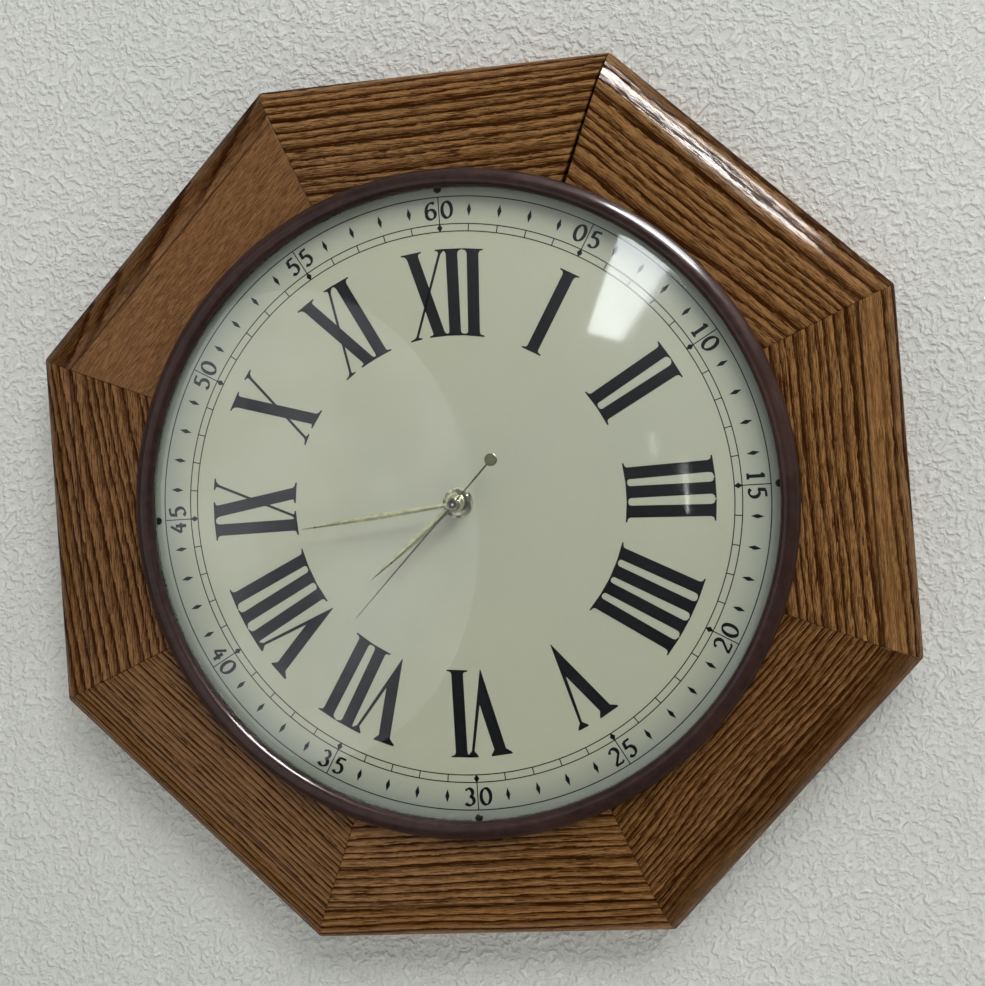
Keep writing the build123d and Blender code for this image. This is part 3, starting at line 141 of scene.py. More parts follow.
def piece(name, bm, finish, replaces=(), sharp=35.0, body=ROOT):
    """Finished piece that rides on a body; edges above the sharp angle stay crisp.
    """
    bmesh.ops.remove_doubles(bm, verts=bm.verts, dist=WELD)
    obj = mesh_object(name, bm)
    mesh = obj.data
    mesh.materials.append(mats[finish])
    mesh.polygons.foreach_set("use_smooth", [True] * len(mesh.polygons))
    mesh.set_sharp_from_angle(angle=radians(sharp))
    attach(obj, body)
    if replaces:
        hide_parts(*replaces)
    return obj


def add_revolved(bm, profile, steps, x=0.0, z=0.0):
    """Revolves a closed profile of (radius, forward) points about an axis through (x, z)."""
    rings = []
    for step in range(steps):
        angle = 2 * pi * step / steps
        right, up = sin(angle), cos(angle)
        points = [(x + radius * right, -forward, z + radius * up) for radius, forward in profile]
        rings.append([bm.verts.new(point) for point in points])
    for near, far in zip(rings, rings[1:] + rings[:1]):
        for k in range(len(profile)):
            m = (k + 1) % len(profile)
            # points on the axis close up to triangles, and a run along it has no face
            corners = [near[k], near[m]] + [far[n] for n in (m, k) if profile[n][0]]
            if len(corners) > 2:
                bm.faces.new(corners)


def add_skin(bm, outlines, capped=True):
    """Joins closed outlines of equal length into a solid, capped or with the last one joined to the first."""
    rows = [[bm.verts.new(point) for point in outline] for outline in outlines]
    count = len(rows[0])
    for near, far in zip(rows, rows[1:] if capped else rows[1:] + rows[:1]):
        for k in range(count):
            m = (k + 1) % count
            bm.faces.new((near[k], near[m], far[m], far[k]))
    if capped:
        bm.faces.new(rows[0])
        bm.faces.new(rows[-1])


def ring(radius_at, forward, steps):
    """Closed ring of points round the hand axis; its radius is a function of the angle."""
    points = []
    for step in range(steps):
        turn = 2 * pi * step / steps
        radius = radius_at(turn)
        points.append((radius * cos(turn), -forward, radius * sin(turn)))
    return points


# ---------------- material helper
class Shade:
    """Builds a node material, or the world; each call adds a node and returns its output."""

    def __init__(self, name, family=bpy.data.materials, coordinates="Object"):
        self.block = family.new(name)
        self.block.use_nodes = True
        self.tree = self.block.node_tree
        self.tree.nodes.clear()
        self.place = self.add("TexCoord", output=coordinates)

    def add(self, kind, inputs=None, output=0, **settings):
        """A node with settings; an input is a number or another node's output."""
        node = self.tree.nodes.new("ShaderNode" + kind)
        for key, value in settings.items():
            setattr(node, key, value)
        for key, value in (inputs or {}).items():
            if isinstance(value, bpy.types.NodeSocket):
                self.tree.links.new(value, node.inputs[key])
            else:
                node.inputs[key].default_value = value
        return node.outputs[output]

    def calc(self, operation, *values):
        return self.add("Math", dict(enumerate(values)), operation=operation)

    def plus(self, *values):
        return self.calc("ADD", *values)

    def minus(self, *values):
        return self.calc("SUBTRACT", *values)

    def times(self, *values):
        return self.calc("MULTIPLY", *values)

    def blend(self, value, factor, rest):
        """value * factor + rest"""
        return self.calc("MULTIPLY_ADD", value, factor, rest)

    def part(self, axis):
        """One coordinate of the place being shaded."""
        return self.add("SeparateXYZ", {0: self.place}, output=axis)

    def length(self, first, second):
        return self.calc("SQRT", self.plus(self.times(first, first), self.times(second, second)))

    def dot(self, vector, direction):
        return self.add("VectorMath", {0: vector, 1: direction}, output="Value", operation="DOT_PRODUCT")

    def scale(self, vector, factors):
        return self.add("VectorMath", {0: vector, 1: factors}, operation="MULTIPLY")

    def join(self, x, y, z):
        return self.add("CombineXYZ", {0: x, 1: y, 2: z})

    def noise(self, vector, scale=1.0, detail=2.0, rough=0.5):
        return self.add("TexNoise", {"Vector": vector, "Scale": scale, "Detail": detail, "Roughness": rough})

    def step(self, value, low, high, start=0.0, end=1.0):
        """Smooth change from start to end as the value goes from low to high."""
        inputs = {"Value": value, "From Min": low, "From Max": high, "To Min": start, "To Max": end}
        return self.add("MapRange", inputs, interpolation_type="SMOOTHSTEP")

    def mix(self, share, first, second):
        """Mix of two colours, which are sockets 6 and 7 of the Mix node."""
        return self.add("Mix", {0: share, 6: first, 7: second}, output=2, data_type="RGBA")

    def bump(self, height, distance, strength=1.0, normal=None):
        inputs = {"Height": height, "Distance": distance, "Strength": strength}
        if normal is not None:
            inputs["Normal"] = normal
        return self.add("Bump", inputs)

    def surface(self, **inputs):
        named = {key.replace("_", " "): value for key, value in inputs.items()}
        return self.output(self.add("BsdfPrincipled", named))

    def output(self, shader, kind="OutputMaterial"):
        node = self.tree.nodes.new("ShaderNode" + kind)
        self.tree.links.new(shader, node.inputs["Surface"])
        return self.block


def rgb(red, green, blue):
    """Linear colour from display values between 0 and 255."""
    linear = []
    for value in (red, green, blue):
        share = value / 255
        linear.append(share / 12.92 if share <= 0.04045 else ((share + 0.055) / 1.055) ** 2.4)
    return (*linear, 1.0)


# ---------------- materials
PER_MM = 1 / MM
OAK_LIGHT = rgb(164, 122, 76)
OAK_MID = rgb(110, 74, 36)
OAK_RED = rgb(126, 78, 44)
OAK_PORE = rgb(44, 18, 4)
OAK_SHADE = rgb(62, 36, 14)
BOARD_LENGTH = 400.0
PORE_DARKNESS = 0.93


def oak(index, spacing, pith, tilt, wander=2.5, warmth=0.0, depth=0.0, plain=None, edge=None, crisp=0.0):
    """Stained open-grained oak with its grain along the segment; lengths in here are in mm.

    Each segment has its own stretch of the tree. spacing is the width of a growth ring, pith the place of the
    tree's centre as (outward, forward), tilt how far the pith leaves the board per unit of length and wander
    how far the rings stray. warmth reddens the stain and depth darkens it. plain is a band (middle, half
    width, stray) of outward distance with hardly any pores, edge the outward distance beyond which the
    round-over is darkened in patches as painted shade of a shoulder turned away from the light, and crisp
    straightens the rings and thins the flecks between them.
    """
    s = Shade("oak_" + SEGMENTS[index])
    seed = index + 1
    angle = radians(SEGMENT_ANGLE * index)
    along = s.dot(s.place, (cos(angle) * PER_MM, 0, -sin(angle) * PER_MM))
    outward = s.dot(s.place, (sin(angle) * PER_MM, 0, cos(angle) * PER_MM))
    forward = s.dot(s.place, (0, -PER_MM, 0))
    place = s.join(s.plus(along, BOARD_LENGTH * seed), outward, forward)

    def grain(lengthwise, crosswise, **settings):
        """Noise with its own scale along the board and across it."""
        return s.noise(s.scale(place, (lengthwise, crosswise, crosswise)), **settings)

    # distance from the pith, wandering along the board, gives the growth rings
    drift = s.minus(grain(0.012, 0.03, detail=1.0), 0.5)
    ripple = s.minus(grain(0.06, 0.16), 0.5)
    wobble = s.minus(grain(0.16, 0.5, detail=3.0, rough=0.6), 0.5)
    fringe = s.minus(grain(0.09, 1.7, detail=3.0, rough=0.7), 0.5)
    across = s.minus(outward, s.blend(along, tilt[0], pith[0]))
    sunk = s.minus(forward, s.blend(along, tilt[1], pith[1]))
    across = s.blend(drift, wander * 2.4, across)
    reach = s.length(across, sunk)
    reach = s.blend(ripple, 0.36 * spacing, reach)
    reach = s.blend(wobble, (0.32 - 0.1 * crisp) * spacing, reach)
    reach = s.blend(fringe, (0.45 - 0.35 * crisp) * spacing, reach)
    uneven = s.noise(s.join(s.times(reach, 0.09), 7.0 * seed, 0.0), detail=1.0)
    phase = s.calc("FRACT", s.blend(uneven, 2.2, s.calc("DIVIDE", reach, spacing)))

    # early wood: a sharp inner edge, a dark core and a slow fade outwards
    core = s.times(s.step(phase, 0.0, 0.08), s.step(phase, 0.40, 0.14))
    fade = s.times(s.step(phase, 0.0, 0.06), s.step(phase, 0.85, 0.18))
    # pores: long thin grooves, crowded in the early wood, and short flecks everywhere
    long_pores = grain(0.06, 1.2, detail=3.0, rough=0.7)
    fine_pores = grain(0.17, 2.8, detail=3.0, rough=0.7)
    bold = s.step(s.minus(long_pores, s.step(core, 0.0, 1.0, 0.60, 0.42)), -0.03, 0.035)
    over = s.minus(fine_pores, s.step(fade, 0.0, 1.0, 0.55, 0.47))
    fine = s.step(over, -0.03, 0.05, 0.0, 0.75 * (1 - crisp))
    pores = s.calc("MAXIMUM", bold, fine)
    if plain:
        middle, half, stray = plain
        off = s.calc("ABSOLUTE", s.minus(s.blend(drift, stray, outward), middle))
        busy = s.step(off, half - 4.0, half + 6.0, 0.12, 1.0)
        flecks = s.step(fine_pores, 0.49, 0.58, 0.0, 0.6)
        pores = s.calc("MAXIMUM", s.times(pores, busy), flecks)
        fade = s.times(fade, busy)

    # stain: lighter late wood, patches of warmer and darker tone
    patches = grain(0.02, 0.05)
    fibres = grain(0.07, 2.0, detail=4.0, rough=0.75)
    light = s.blend(fibres, 0.75, s.times(patches, 0.25))
    light = s.minus(light, s.times(fade, 0.16))
    colour = s.mix(s.step(light, 0.28, 0.60), OAK_MID, OAK_LIGHT)
    colour = s.mix(s.step(patches, 0.42, 0.75, warmth, min(1.0, warmth + 0.3)), colour, OAK_RED)
    colour = s.mix(depth, colour, OAK_SHADE)
    if edge:
        # painted shade: beyond the edge distance the round-over is darkened in patches, as a shoulder turned
        # from the light
        shoulder_painted_shade = s.step(s.blend(drift, 14.0, outward), edge - 2.0, edge + 2.5, 0.0, 0.6)
        shade_breakup = grain(0.03, 0.25, detail=3.0)
        colour = s.mix(s.times(shoulder_painted_shade, s.step(shade_breakup, 0.3, 0.55, 0.45, 1.0)), colour, OAK_SHADE)
    colour = s.mix(s.times(pores, PORE_DARKNESS), colour, OAK_PORE)
    # painted shade: a thin dark line in the corner of the step where the round-over starts
    off_step = s.calc("ABSOLUTE", s.minus(outward, SHOULDER / MM + 0.2))
    colour = s.mix(s.step(off_step, 0.3, 0.9, 0.7, 0.0), colour, OAK_PORE)

    # the pores are grooves; the varnish above them is smoother, so the flat faces don't sparkle
    height = s.blend(pores, -1.0, s.times(fibres, 0.35))
    waviness = grain(0.02, 0.12, detail=1.0)
    varnish = s.bump(fibres, 0.05 * MM, 0.6, s.bump(waviness, 1.0 * MM, 0.45))
    normal = s.bump(height, 0.22 * MM, 0.9, varnish)
    return s.surface(
        Base_Color=colour,
        Roughness=s.step(pores, 0.0, 1.0, 0.38, 0.65),
        Specular_IOR_Level=0.0,
        Normal=normal,
        Coat_Weight=s.step(pores, 0.0, 1.0, 0.3, 0.02),
        Coat_Roughness=s.step(patches, 0.3, 0.7, 0.06, 0.11),
        Coat_Normal=varnish,
    )


def coated(name, first, second, roughness, grain=400.0, relief=0.05, metallic=0, stretch=(1, 1, 1), **extra):
    """A plain finish with mottled colour, uneven gloss and a fine grain; stretch draws the grain out."""
    s = Shade(name)
    place = s.scale(s.place, stretch)
    mottle = s.noise(place, grain * 0.12, detail=3.0)
    fine = s.noise(place, grain * 2.5, detail=3.0, rough=0.6)
    worn = s.noise(s.place, 60.0)
    tone = s.step(s.blend(fine, 0.35, s.times(mottle, 0.65)), 0.3, 0.7)
    return s.surface(
        Base_Color=s.mix(tone, rgb(*first), rgb(*second)),
        Roughness=s.step(s.blend(fine, 0.5, worn), 0.45, 1.05, roughness * 0.75, roughness * 1.3),
        Metallic=metallic,
        Normal=s.bump(fine, relief * MM, 0.6),
        **extra,
    )


RING_LINES = 5400.0
DEPTH_LINES = 3600.0


def brushed(name, first, second, roughness):
    """Turned metal with fine rings about the hand axis and a little tarnish."""
    s = Shade(name)
    radius = s.length(s.part("X"), s.part("Z"))
    rings = s.noise(s.join(s.times(radius, RING_LINES), s.times(s.part("Y"), DEPTH_LINES), 0.0))
    tarnish = s.noise(s.place, 260.0, detail=4.0, rough=0.6)
    return s.surface(
        Base_Color=s.mix(s.step(tarnish, 0.38, 0.62), rgb(*first), rgb(*second)),
        Metallic=1.0,
        Roughness=s.step(s.blend(rings, 0.3, tarnish), 0.3, 1.0, roughness * 0.6, roughness * 1.7),
        Normal=s.bump(rings, 0.02 * MM, 0.5),
    )


def enamel(name):
    """Cream dial paint: slightly mottled, yellowing in soft patches, and greyer towards the rim as painted
    shade of the bezel's lip.
    """
    s = Shade(name)
    radius = s.length(s.part("X"), s.part("Z"))
    patches = s.noise(s.place, 9.0, detail=3.0)
    specks = s.noise(s.place, 900.0)
    peel = s.noise(s.place, 350.0)
    colour = s.mix(s.step(patches, 0.35, 0.7), rgb(182, 182, 158), rgb(175, 176, 155))
    colour = s.mix(s.step(specks, 0.68, 0.76, 0.0, 0.18), colour, rgb(138, 130, 102))
    # painted shade: the rim is greyed where the bezel's lip shades the dial
    colour = s.mix(s.step(radius, 0.122, 0.146, 0.0, 0.8), colour, rgb(142, 148, 138))
    return s.surface(
        Base_Color=colour,
        Roughness=s.step(patches, 0.3, 0.7, 0.42, 0.52),
        Normal=s.bump(peel, 0.02 * MM, 0.4),
        Coat_Weight=0.15,
        Coat_Roughness=0.3,
    )


REFLECTION_GAIN = 1.6


def clear_glass(name):
    """Thin clear glass that lets light straight through and mirrors the room, with faint smears.

    Only the outer face mirrors, and only for the camera, so that the dial gets its full light.
    """
    s = Shade(name)
    smear = s.noise(s.scale(s.place, (14, 14, 5)), 1.0, detail=5.0, rough=0.65)
    haze = s.step(smear, 0.45, 0.75, 0.02, 0.14)
    bent = s.bump(s.noise(s.place, 12.0, detail=1.0), 0.5 * MM, 0.12)
    mirror = s.add("BsdfGlossy", {"Color": (1, 1, 1, 1), "Roughness": haze, "Normal": bent})
    through = s.add("BsdfTransparent", {"Color": (0.985, 0.992, 0.988, 1)})
    fresnel = s.add("Fresnel", {"IOR": 1.45, "Normal": bent})
    camera_ray = s.add("LightPath", output="Is Camera Ray")
    outer_face = s.minus(1.0, s.add("NewGeometry", output="Backfacing"))
    share = s.times(s.times(fresnel, REFLECTION_GAIN), s.times(camera_ray, outer_face))
    return s.output(s.add("MixShader", {0: share, 1: through, 2: mirror}))


# What differs from segment to segment: the arguments of oak().
WOODS = {
    "top": dict(spacing=4.2, pith=(20, 0), tilt=(0.012, 0.05), wander=2.4),
    "top_right": dict(spacing=3.7, pith=(50, -60), tilt=(-0.05, 0.1), wander=2.6, depth=0.04),
    "right": dict(spacing=3.9, pith=(60, 0), tilt=(0.01, 0.05), wander=2.0, depth=0.04, plain=(187, 2, 8)),
    "bottom_right": dict(
        spacing=2.5, pith=(20, -30), tilt=(-0.03, 0.1), wander=4.0, depth=0.32, plain=(200, 5, 30), edge=184.0
    ),
    "bottom": dict(spacing=3.7, pith=(30, 0), tilt=(0.01, 0.02), wander=1.6, depth=0.1, crisp=0.25),
    "bottom_left": dict(spacing=2.5, pith=(0, 10), tilt=(0, 0), wander=0.9, depth=0.42, crisp=0.7),
    "left": dict(spacing=4.4, pith=(40, -20), tilt=(0.09, 0.1), wander=2.2, warmth=0.12, depth=0.22),
    "top_left": dict(
        spacing=6.0, pith=(60, -70), tilt=(0.03, 0.2), warmth=0.2, depth=0.25, plain=(146, 38, 14), edge=186.0
    ),
}

# Finishes by name: two colours, roughness and, for the coated ones, what differs from the plain case.
COATED = {
    "bezel_brown": (
        (38, 24, 22), (62, 42, 36), 0.4,
        dict(grain=90, relief=0.03, Specular_IOR_Level=0.05, Coat_Weight=0.4, Coat_Roughness=0.12),
    ),
    "dial_ink": ((9, 10, 13), (16, 17, 21), 0.6, dict(grain=700, relief=0.02, Specular_IOR_Level=0.1)),
    "zinc_steel": ((176, 180, 184), (140, 146, 152), 0.34, dict(grain=250, metallic=1.0)),
    "dark_steel": ((34, 30, 30), (58, 50, 46), 0.4, dict(metallic=0.7)),
    "black_rubber": ((34, 34, 34), (46, 46, 45), 0.75, dict(grain=600)),
    "clear_rubber": ((196, 192, 180), (178, 172, 158), 0.45, dict(Transmission_Weight=0.35)),
    "hardboard": ((122, 88, 60), (106, 76, 51), 0.8, dict(grain=500, relief=0.15)),
    "beech": ((196, 160, 118), (172, 134, 92), 0.6, dict(grain=300, relief=0.1, stretch=(1, 4, 4))),
    "black_plastic": ((38, 38, 40), (50, 50, 52), 0.55, dict(grain=900, relief=0.06)),
    "white_plastic": ((222, 220, 208), (204, 202, 190), 0.45, dict(grain=300, relief=0.03)),
    "magnet_steel": ((92, 92, 96), (66, 66, 70), 0.45, dict(metallic=0.8)),
    "soft_iron": ((140, 140, 142), (112, 112, 116), 0.35, dict(metallic=1.0)),
    "copper_wire": ((190, 104, 60), (140, 70, 38), 0.3, dict(grain=900, metallic=1.0, stretch=(6, 0.3, 0.3))),
    "board_laminate": ((120, 84, 44), (98, 66, 34), 0.5, {}),
    "black_resin": ((18, 18, 18), (26, 26, 26), 0.2, {}),
    "crystal_can": ((204, 204, 206), (176, 176, 180), 0.16, dict(metallic=1.0)),
    "contact_steel": ((196, 194, 186), (160, 158, 150), 0.25, dict(metallic=1.0)),
    "battery_jacket": ((36, 40, 48), (46, 50, 58), 0.3, dict(grain=200, Coat_Weight=0.4)),
    "battery_band": ((176, 118, 62), (150, 98, 50), 0.3, dict(grain=200, metallic=0.8)),
}
BRUSHED = {
    "hand_brass": ((206, 202, 158), (170, 168, 128), 0.34),
    "dark_brass": ((122, 122, 98), (92, 92, 74), 0.42),
    "turned_brass": ((204, 200, 168), (104, 102, 78), 0.18),
    "plain_steel": ((188, 188, 184), (150, 150, 146), 0.3),
}
mats = {name: coated(name, *values, **extra) for name, (*values, extra) in COATED.items()}
mats.update((name, brushed(name, *values)) for name, values in BRUSHED.items())
mats.update(("oak_" + name, oak(index, **WOODS[name])) for index, name in enumerate(SEGMENTS))
mats.update(dial_enamel=enamel("dial_enamel"), clear_glass=clear_glass("clear_glass"))


# ---------------- oak segments
def mitre_gap(name, side, outward):
    """Half the gap at a mitre; the joint between top and top right is open towards the middle."""
    if (name, side) not in (("top", 1), ("top_right", -1)):
        return TIGHT_GAP
    share = (APOTHEM - outward) / (APOTHEM - OPENING_RADIUS)
    return OPEN_GAP + OPEN_GAP_GROWTH * max(0.0, share)


def segment_rows():
    """Closed section of a segment: (kind, distance, forward, outward normal, forward normal).

    A "ring" distance is a radius round the hand axis, a "flat" distance is measured square to the side, and a
    "blend" distance is the share of the way between the two across the face.
    """
    rows = [("ring", OPENING_RADIUS, REBATE_FLOOR, 0, 0), ("ring", REBATE_RADIUS, REBATE_FLOOR, 0, 0)]
    rows.append(("ring", REBATE_RADIUS, FACE, 0, 1))
    rows += [("blend", share / 8, FACE, 0, 1) for share in range(1, 8)]
    rows.append(("flat", SHOULDER, FACE, 0, 1))
    for x, y in arc((0, 0), 1, 90, 0, 16):
        rows.append(("flat", SHOULDER + ROUND_OVER * x, FACE - STEP - ROUND_OVER + ROUND_OVER * y, x, y))
    rows += [("flat", APOTHEM, SIDE_ROW, 1, 0), ("flat", APOTHEM, WOOD_BACK + BACK_ARRIS, 1, 0)]
    rows += [("flat", APOTHEM - BACK_ARRIS, WOOD_BACK, 0, -1), ("ring", OPENING_RADIUS, WOOD_BACK, 0, 0)]
    rows.append(("ring", OPENING_RADIUS, BORE_ROW, 0, 0))
    return rows


def segment_point(row, turn):
    """Across and outward distances of a section row at an angle from the segment's middle."""
    kind, distance = row[:2]
    if kind == "ring":
        return distance * sin(turn), distance * cos(turn)
    if kind == "blend":
        inner = REBATE_RADIUS * cos(turn)
        distance = inner + (SHOULDER - inner) * distance
    return distance * tan(turn), distance


def hole_cutter(radius, floor, centre):
    """Round tool from the wall forward to a floor."""
    bm = bmesh.new()
    add_revolved(bm, [(0, 0), (radius, 0), (radius, floor), (0, floor)], 48, centre.x, centre.z)
    return mesh_object("cutter", bm)


def slab_cutter(outline, floor):
    """Tool with an (x, z) outline, from the wall forward to a floor."""
    bm = bmesh.new()
    add_skin(bm, [[Vector((x, -forward, z)) for x, z in outline] for forward in (0, floor)])
    return mesh_object("cutter", bm)


def carve(obj, cutters):
    """Cuts shapes out of a piece and keeps the result as its mesh."""
    for tool in cutters:
        cut = obj.modifiers.new("cut", "BOOLEAN")
        cut.object = tool
        cut.operation = "DIFFERENCE"
        cut.solver = "EXACT"
    graph = bpy.context.evaluated_depsgraph_get()
    mesh = bpy.data.meshes.new_from_object(obj.evaluated_get(graph))
    obj.modifiers.clear()
    obj.data = mesh
    for tool in cutters:
        bpy.data.objects.remove(tool)


HANGER_LOW, HANGER_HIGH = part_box("keyhole_hanger")
COUNTERBORE_RADIUS = 4.5 * MM
COUNTERBORE_FLOOR = 29 * MM
PEG_CIRCLE = 149.9 * MM
HANGER_CORNER = 4 * MM
POCKET_HALF_WIDTH = 7 * MM
POCKET_HALF_HEIGHT = 9 * MM
POCKET_CORNER = POCKET_HALF_WIDTH * 0.98
POCKET_FLOOR = 13 * MM


def rounded_outline(low, high, radius):
    """Rounded rectangle in x and z, anticlockwise."""
    outline = []
    for cx, cz, start in (
        (high[0] - radius, high[1] - radius, 0),
        (low[0] + radius, high[1] - radius, 90),
        (low[0] + radius, low[1] + radius, 180),
        (high[0] - radius, low[1] + radius, 270),
    ):
        outline += arc((cx, cz), radius, start, start + 90, 6)
    return outline


def oak_segment(index, name):
    """One mitred board, as columns of section points from one mitre to the other.

    The first and last columns are doubled to ease the mitre's edge, and the face carries faint planing waves.
    """
    heading = SEGMENT_ANGLE * index
    rows = segment_rows()
    turns = [HALF_STEP * share / SEGMENT_COLUMNS for share in range(-SEGMENT_COLUMNS, SEGMENT_COLUMNS + 1)]
    columns = []
    for order, turn in enumerate([turns[0]] + turns + [turns[-1]]):
        side = 1 if turn > 0 else -1
        column = []
        for row in rows:
            across, outward = segment_point(row, turn)
            forward = row[2]
            half = outward * tan(HALF_STEP)
            gap = mitre_gap(name, side, outward) / cos(HALF_STEP)
            across *= (half - gap) / half
            if order in (1, len(turns)):
                across -= side * MITRE_ARRIS
            elif order in (0, len(turns) + 1):
                outward -= row[3] * MITRE_ARRIS
                forward -= row[4] * MITRE_ARRIS
            if row[4] > 0 or row[3] > 0:
                wave = noise.noise(Vector((across * 30 + 9 * index, outward * 90, forward * 90)))
                forward -= row[4] * (0.5 + 0.5 * wave) * PLANING
                outward -= row[3] * (0.5 + 0.5 * wave) * PLANING
            column.append(turned((across, outward), heading, forward))
        columns.append(column)
    bm = bmesh.new()
    add_skin(bm, columns)
    obj = piece("oak_" + name, bm, "oak_" + name, ("oak_segment_" + name,))
    tools = []
    if index % 2:
        tools.append(hole_cutter(COUNTERBORE_RADIUS, COUNTERBORE_FLOOR, turned((0, PEG_CIRCLE), heading)))
    if index == 0:
        low, high = (HANGER_LOW.x, HANGER_LOW.z), (HANGER_HIGH.x, HANGER_HIGH.z)
        middle = (low[1] + high[1]) / 2
        tools.append(slab_cutter(rounded_outline(low, high, HANGER_CORNER), -HANGER_LOW.y))
        low = (-POCKET_HALF_WIDTH, middle - POCKET_HALF_HEIGHT)
        high = (POCKET_HALF_WIDTH, middle + POCKET_HALF_HEIGHT)
        tools.append(slab_cutter(rounded_outline(low, high, POCKET_CORNER), POCKET_FLOOR))
    if tools:
        carve(obj, tools)


for segment_index, segment_name in enumerate(SEGMENTS):
    oak_segment(segment_index, segment_name)


# ---------------- bezel and glass
LIP_RADIUS = 143.5 * MM
BEZEL_BORE = 147.4 * MM
LIP_BACK = 46.3 * MM
OUTER_ROUND = 5.5 * MM
LIP_ROUND = 2.5 * MM
LIP_EASE = 0.3 * MM
BEZEL_EASE = 0.4 * MM
PEG_RADIUS = 2 * MM
PEG_BACK = 30 * MM
PEG_ROOT = FACE + 1 * MM
DIAGONALS = (45, 135, 225, 315)


def build_bezel():
    """Moulded ring: rounded outside, a rounded lip over the glass and four pegs behind."""
    bm = bmesh.new()
    profile = [(LIP_RADIUS, LIP_BACK + LIP_EASE), (LIP_RADIUS + LIP_EASE, LIP_BACK), (BEZEL_BORE, LIP_BACK)]
    profile += [(BEZEL_BORE, FACE), (BEZEL_RADIUS - BEZEL_EASE, FACE), (BEZEL_RADIUS, FACE + BEZEL_EASE)]
    profile += arc((BEZEL_RADIUS - OUTER_ROUND, BEZEL_FRONT - OUTER_ROUND), OUTER_ROUND, 0, 90, 14)
    profile += arc((LIP_RADIUS + LIP_ROUND, BEZEL_FRONT - LIP_ROUND), LIP_ROUND, 90, 180, 10)
    add_revolved(bm, profile, 256)
    for clock in DIAGONALS:
        centre = turned((0, PEG_CIRCLE), clock)
        peg = [(0, PEG_BACK), (PEG_RADIUS, PEG_BACK), (PEG_RADIUS, PEG_ROOT), (0, PEG_ROOT)]
        add_revolved(bm, peg, 24, centre.x, centre.z)
    piece("bezel_ring", bm, "bezel_brown", ("bezel",))


DOME_EDGE = 143.2 * MM
FLANGE_FRONT = 45.5 * MM
GLASS_THICKNESS = 2 * MM
DOME_RISE = GLASS_FRONT - FLANGE_FRONT
DOME_RADIUS = (DOME_EDGE**2 + DOME_RISE**2) / (2 * DOME_RISE)
DOME_CENTRE = GLASS_FRONT - DOME_RADIUS
DOME_STEPS = 56


def build_glass():
    """Domed glass of even thickness with a short flat flange at its edge."""
    inner = DOME_RADIUS - GLASS_THICKNESS
    flange_back = FLANGE_FRONT - GLASS_THICKNESS
    inner_edge = degrees(acos((flange_back - DOME_CENTRE) / inner))
    outer_edge = degrees(acos((FLANGE_FRONT - DOME_CENTRE) / DOME_RADIUS))
    front = arc((0, DOME_CENTRE), DOME_RADIUS, 90 - outer_edge, 90, DOME_STEPS)
    back = arc((0, DOME_CENTRE), inner, 90, 90 - inner_edge, DOME_STEPS)
    profile = [(GLASS_RADIUS, flange_back), (GLASS_RADIUS, FLANGE_FRONT)]
    profile += front[:-1] + [(0.0, GLASS_FRONT), (0.0, GLASS_FRONT - GLASS_THICKNESS)] + back[1:]
    bm = bmesh.new()
    add_revolved(bm, profile, 192)
    piece("domed_glass", bm, "clear_glass", ("glass",), 20.0)


build_bezel()
build_glass()

# ---------------- printed dial
DIAL_TURN = 0.4
INK_FRONT = DIAL_FRONT + 0.06 * MM
NUMERAL_INNER = 76.6 * MM
NUMERAL_OUTER = 116.4 * MM
BOLD = 5.4 * MM
HAIR = 1.25 * MM
SERIF_REACH = 2.15 * MM
SERIF_THICKNESS = 0.7 * MM
SERIF_SLANT = 0.2 * MM
HEAD_BRACKET = 2.2 * MM
FOOT_BRACKET = 1.3 * MM
BRACKET_STEPS = 5
VEE_POINT = 0.3 * MM
LINE = 0.46 * MM
OUTER_CIRCLE = 140.3 * MM
TRACK_OUTER = 127.7 * MM
TRACK_INNER = 124.3 * MM
LABEL_RADIUS = 134.2 * MM
LABEL_HEIGHT = 8.2 * MM
MINUTE_DIAMOND = (3.0 * MM, 1.0 * MM)
FIVE_MINUTE_DIAMOND = (1.9 * MM, 1.3 * MM)
FIVE_MINUTE_RADIUS = TRACK_INNER + 1.7 * MM


def add_ink(bm, outline, clock):
    """Adds one printed shape, given as (across, outward) points, standing a hair above the dial."""
    levels = (DIAL_FRONT, INK_FRONT)
    add_skin(bm, [[turned(point, clock + DIAL_TURN, forward) for point in outline] for forward in levels])


def bent(point):
    """Bends a numeral so that its ends follow circles round the hand axis."""
    across, outward = point
    return across, sqrt(outward * outward - across * across)


def bracket(tip, corner, edge):
    """Hollow curve from a serif's tip to the edge of a stroke, without its two ends."""
    points = []
    for step in range(1, BRACKET_STEPS):
        t = step / BRACKET_STEPS
        shares = ((1 - t) ** 2, 2 * t * (1 - t), t**2)
        ends = (tip, corner, edge)
        points.append([sum(share * end[i] for share, end in zip(shares, ends)) for i in (0, 1)])
    return points


def stroke_outline(head, foot, width):
    """Outline of a serifed stroke between two places across, at the outer and inner ends of a numeral."""
    low, high = NUMERAL_INNER, NUMERAL_OUTER

    def edge(side, outward):
        share = (outward - low) / (high - low)
        return foot + (head - foot) * share + side * width / 2

    def end(side, outward, inward, root):
        tip = (edge(side, outward) + side * SERIF_REACH, outward)
        shelf = (tip[0] - side * SERIF_SLANT, outward + inward * SERIF_THICKNESS)
        root = outward + inward * (SERIF_THICKNESS + root)
        corner = (edge(side, outward), shelf[1])
        return [tip, shelf] + bracket(shelf, corner, (edge(side, root), root)) + [(edge(side, root), root)]

    right = end(1, low, 1, FOOT_BRACKET) + end(1, high, -1, HEAD_BRACKET)[::-1]
    left = end(-1, high, -1, HEAD_BRACKET) + end(-1, low, 1, FOOT_BRACKET)[::-1]
    return right + left


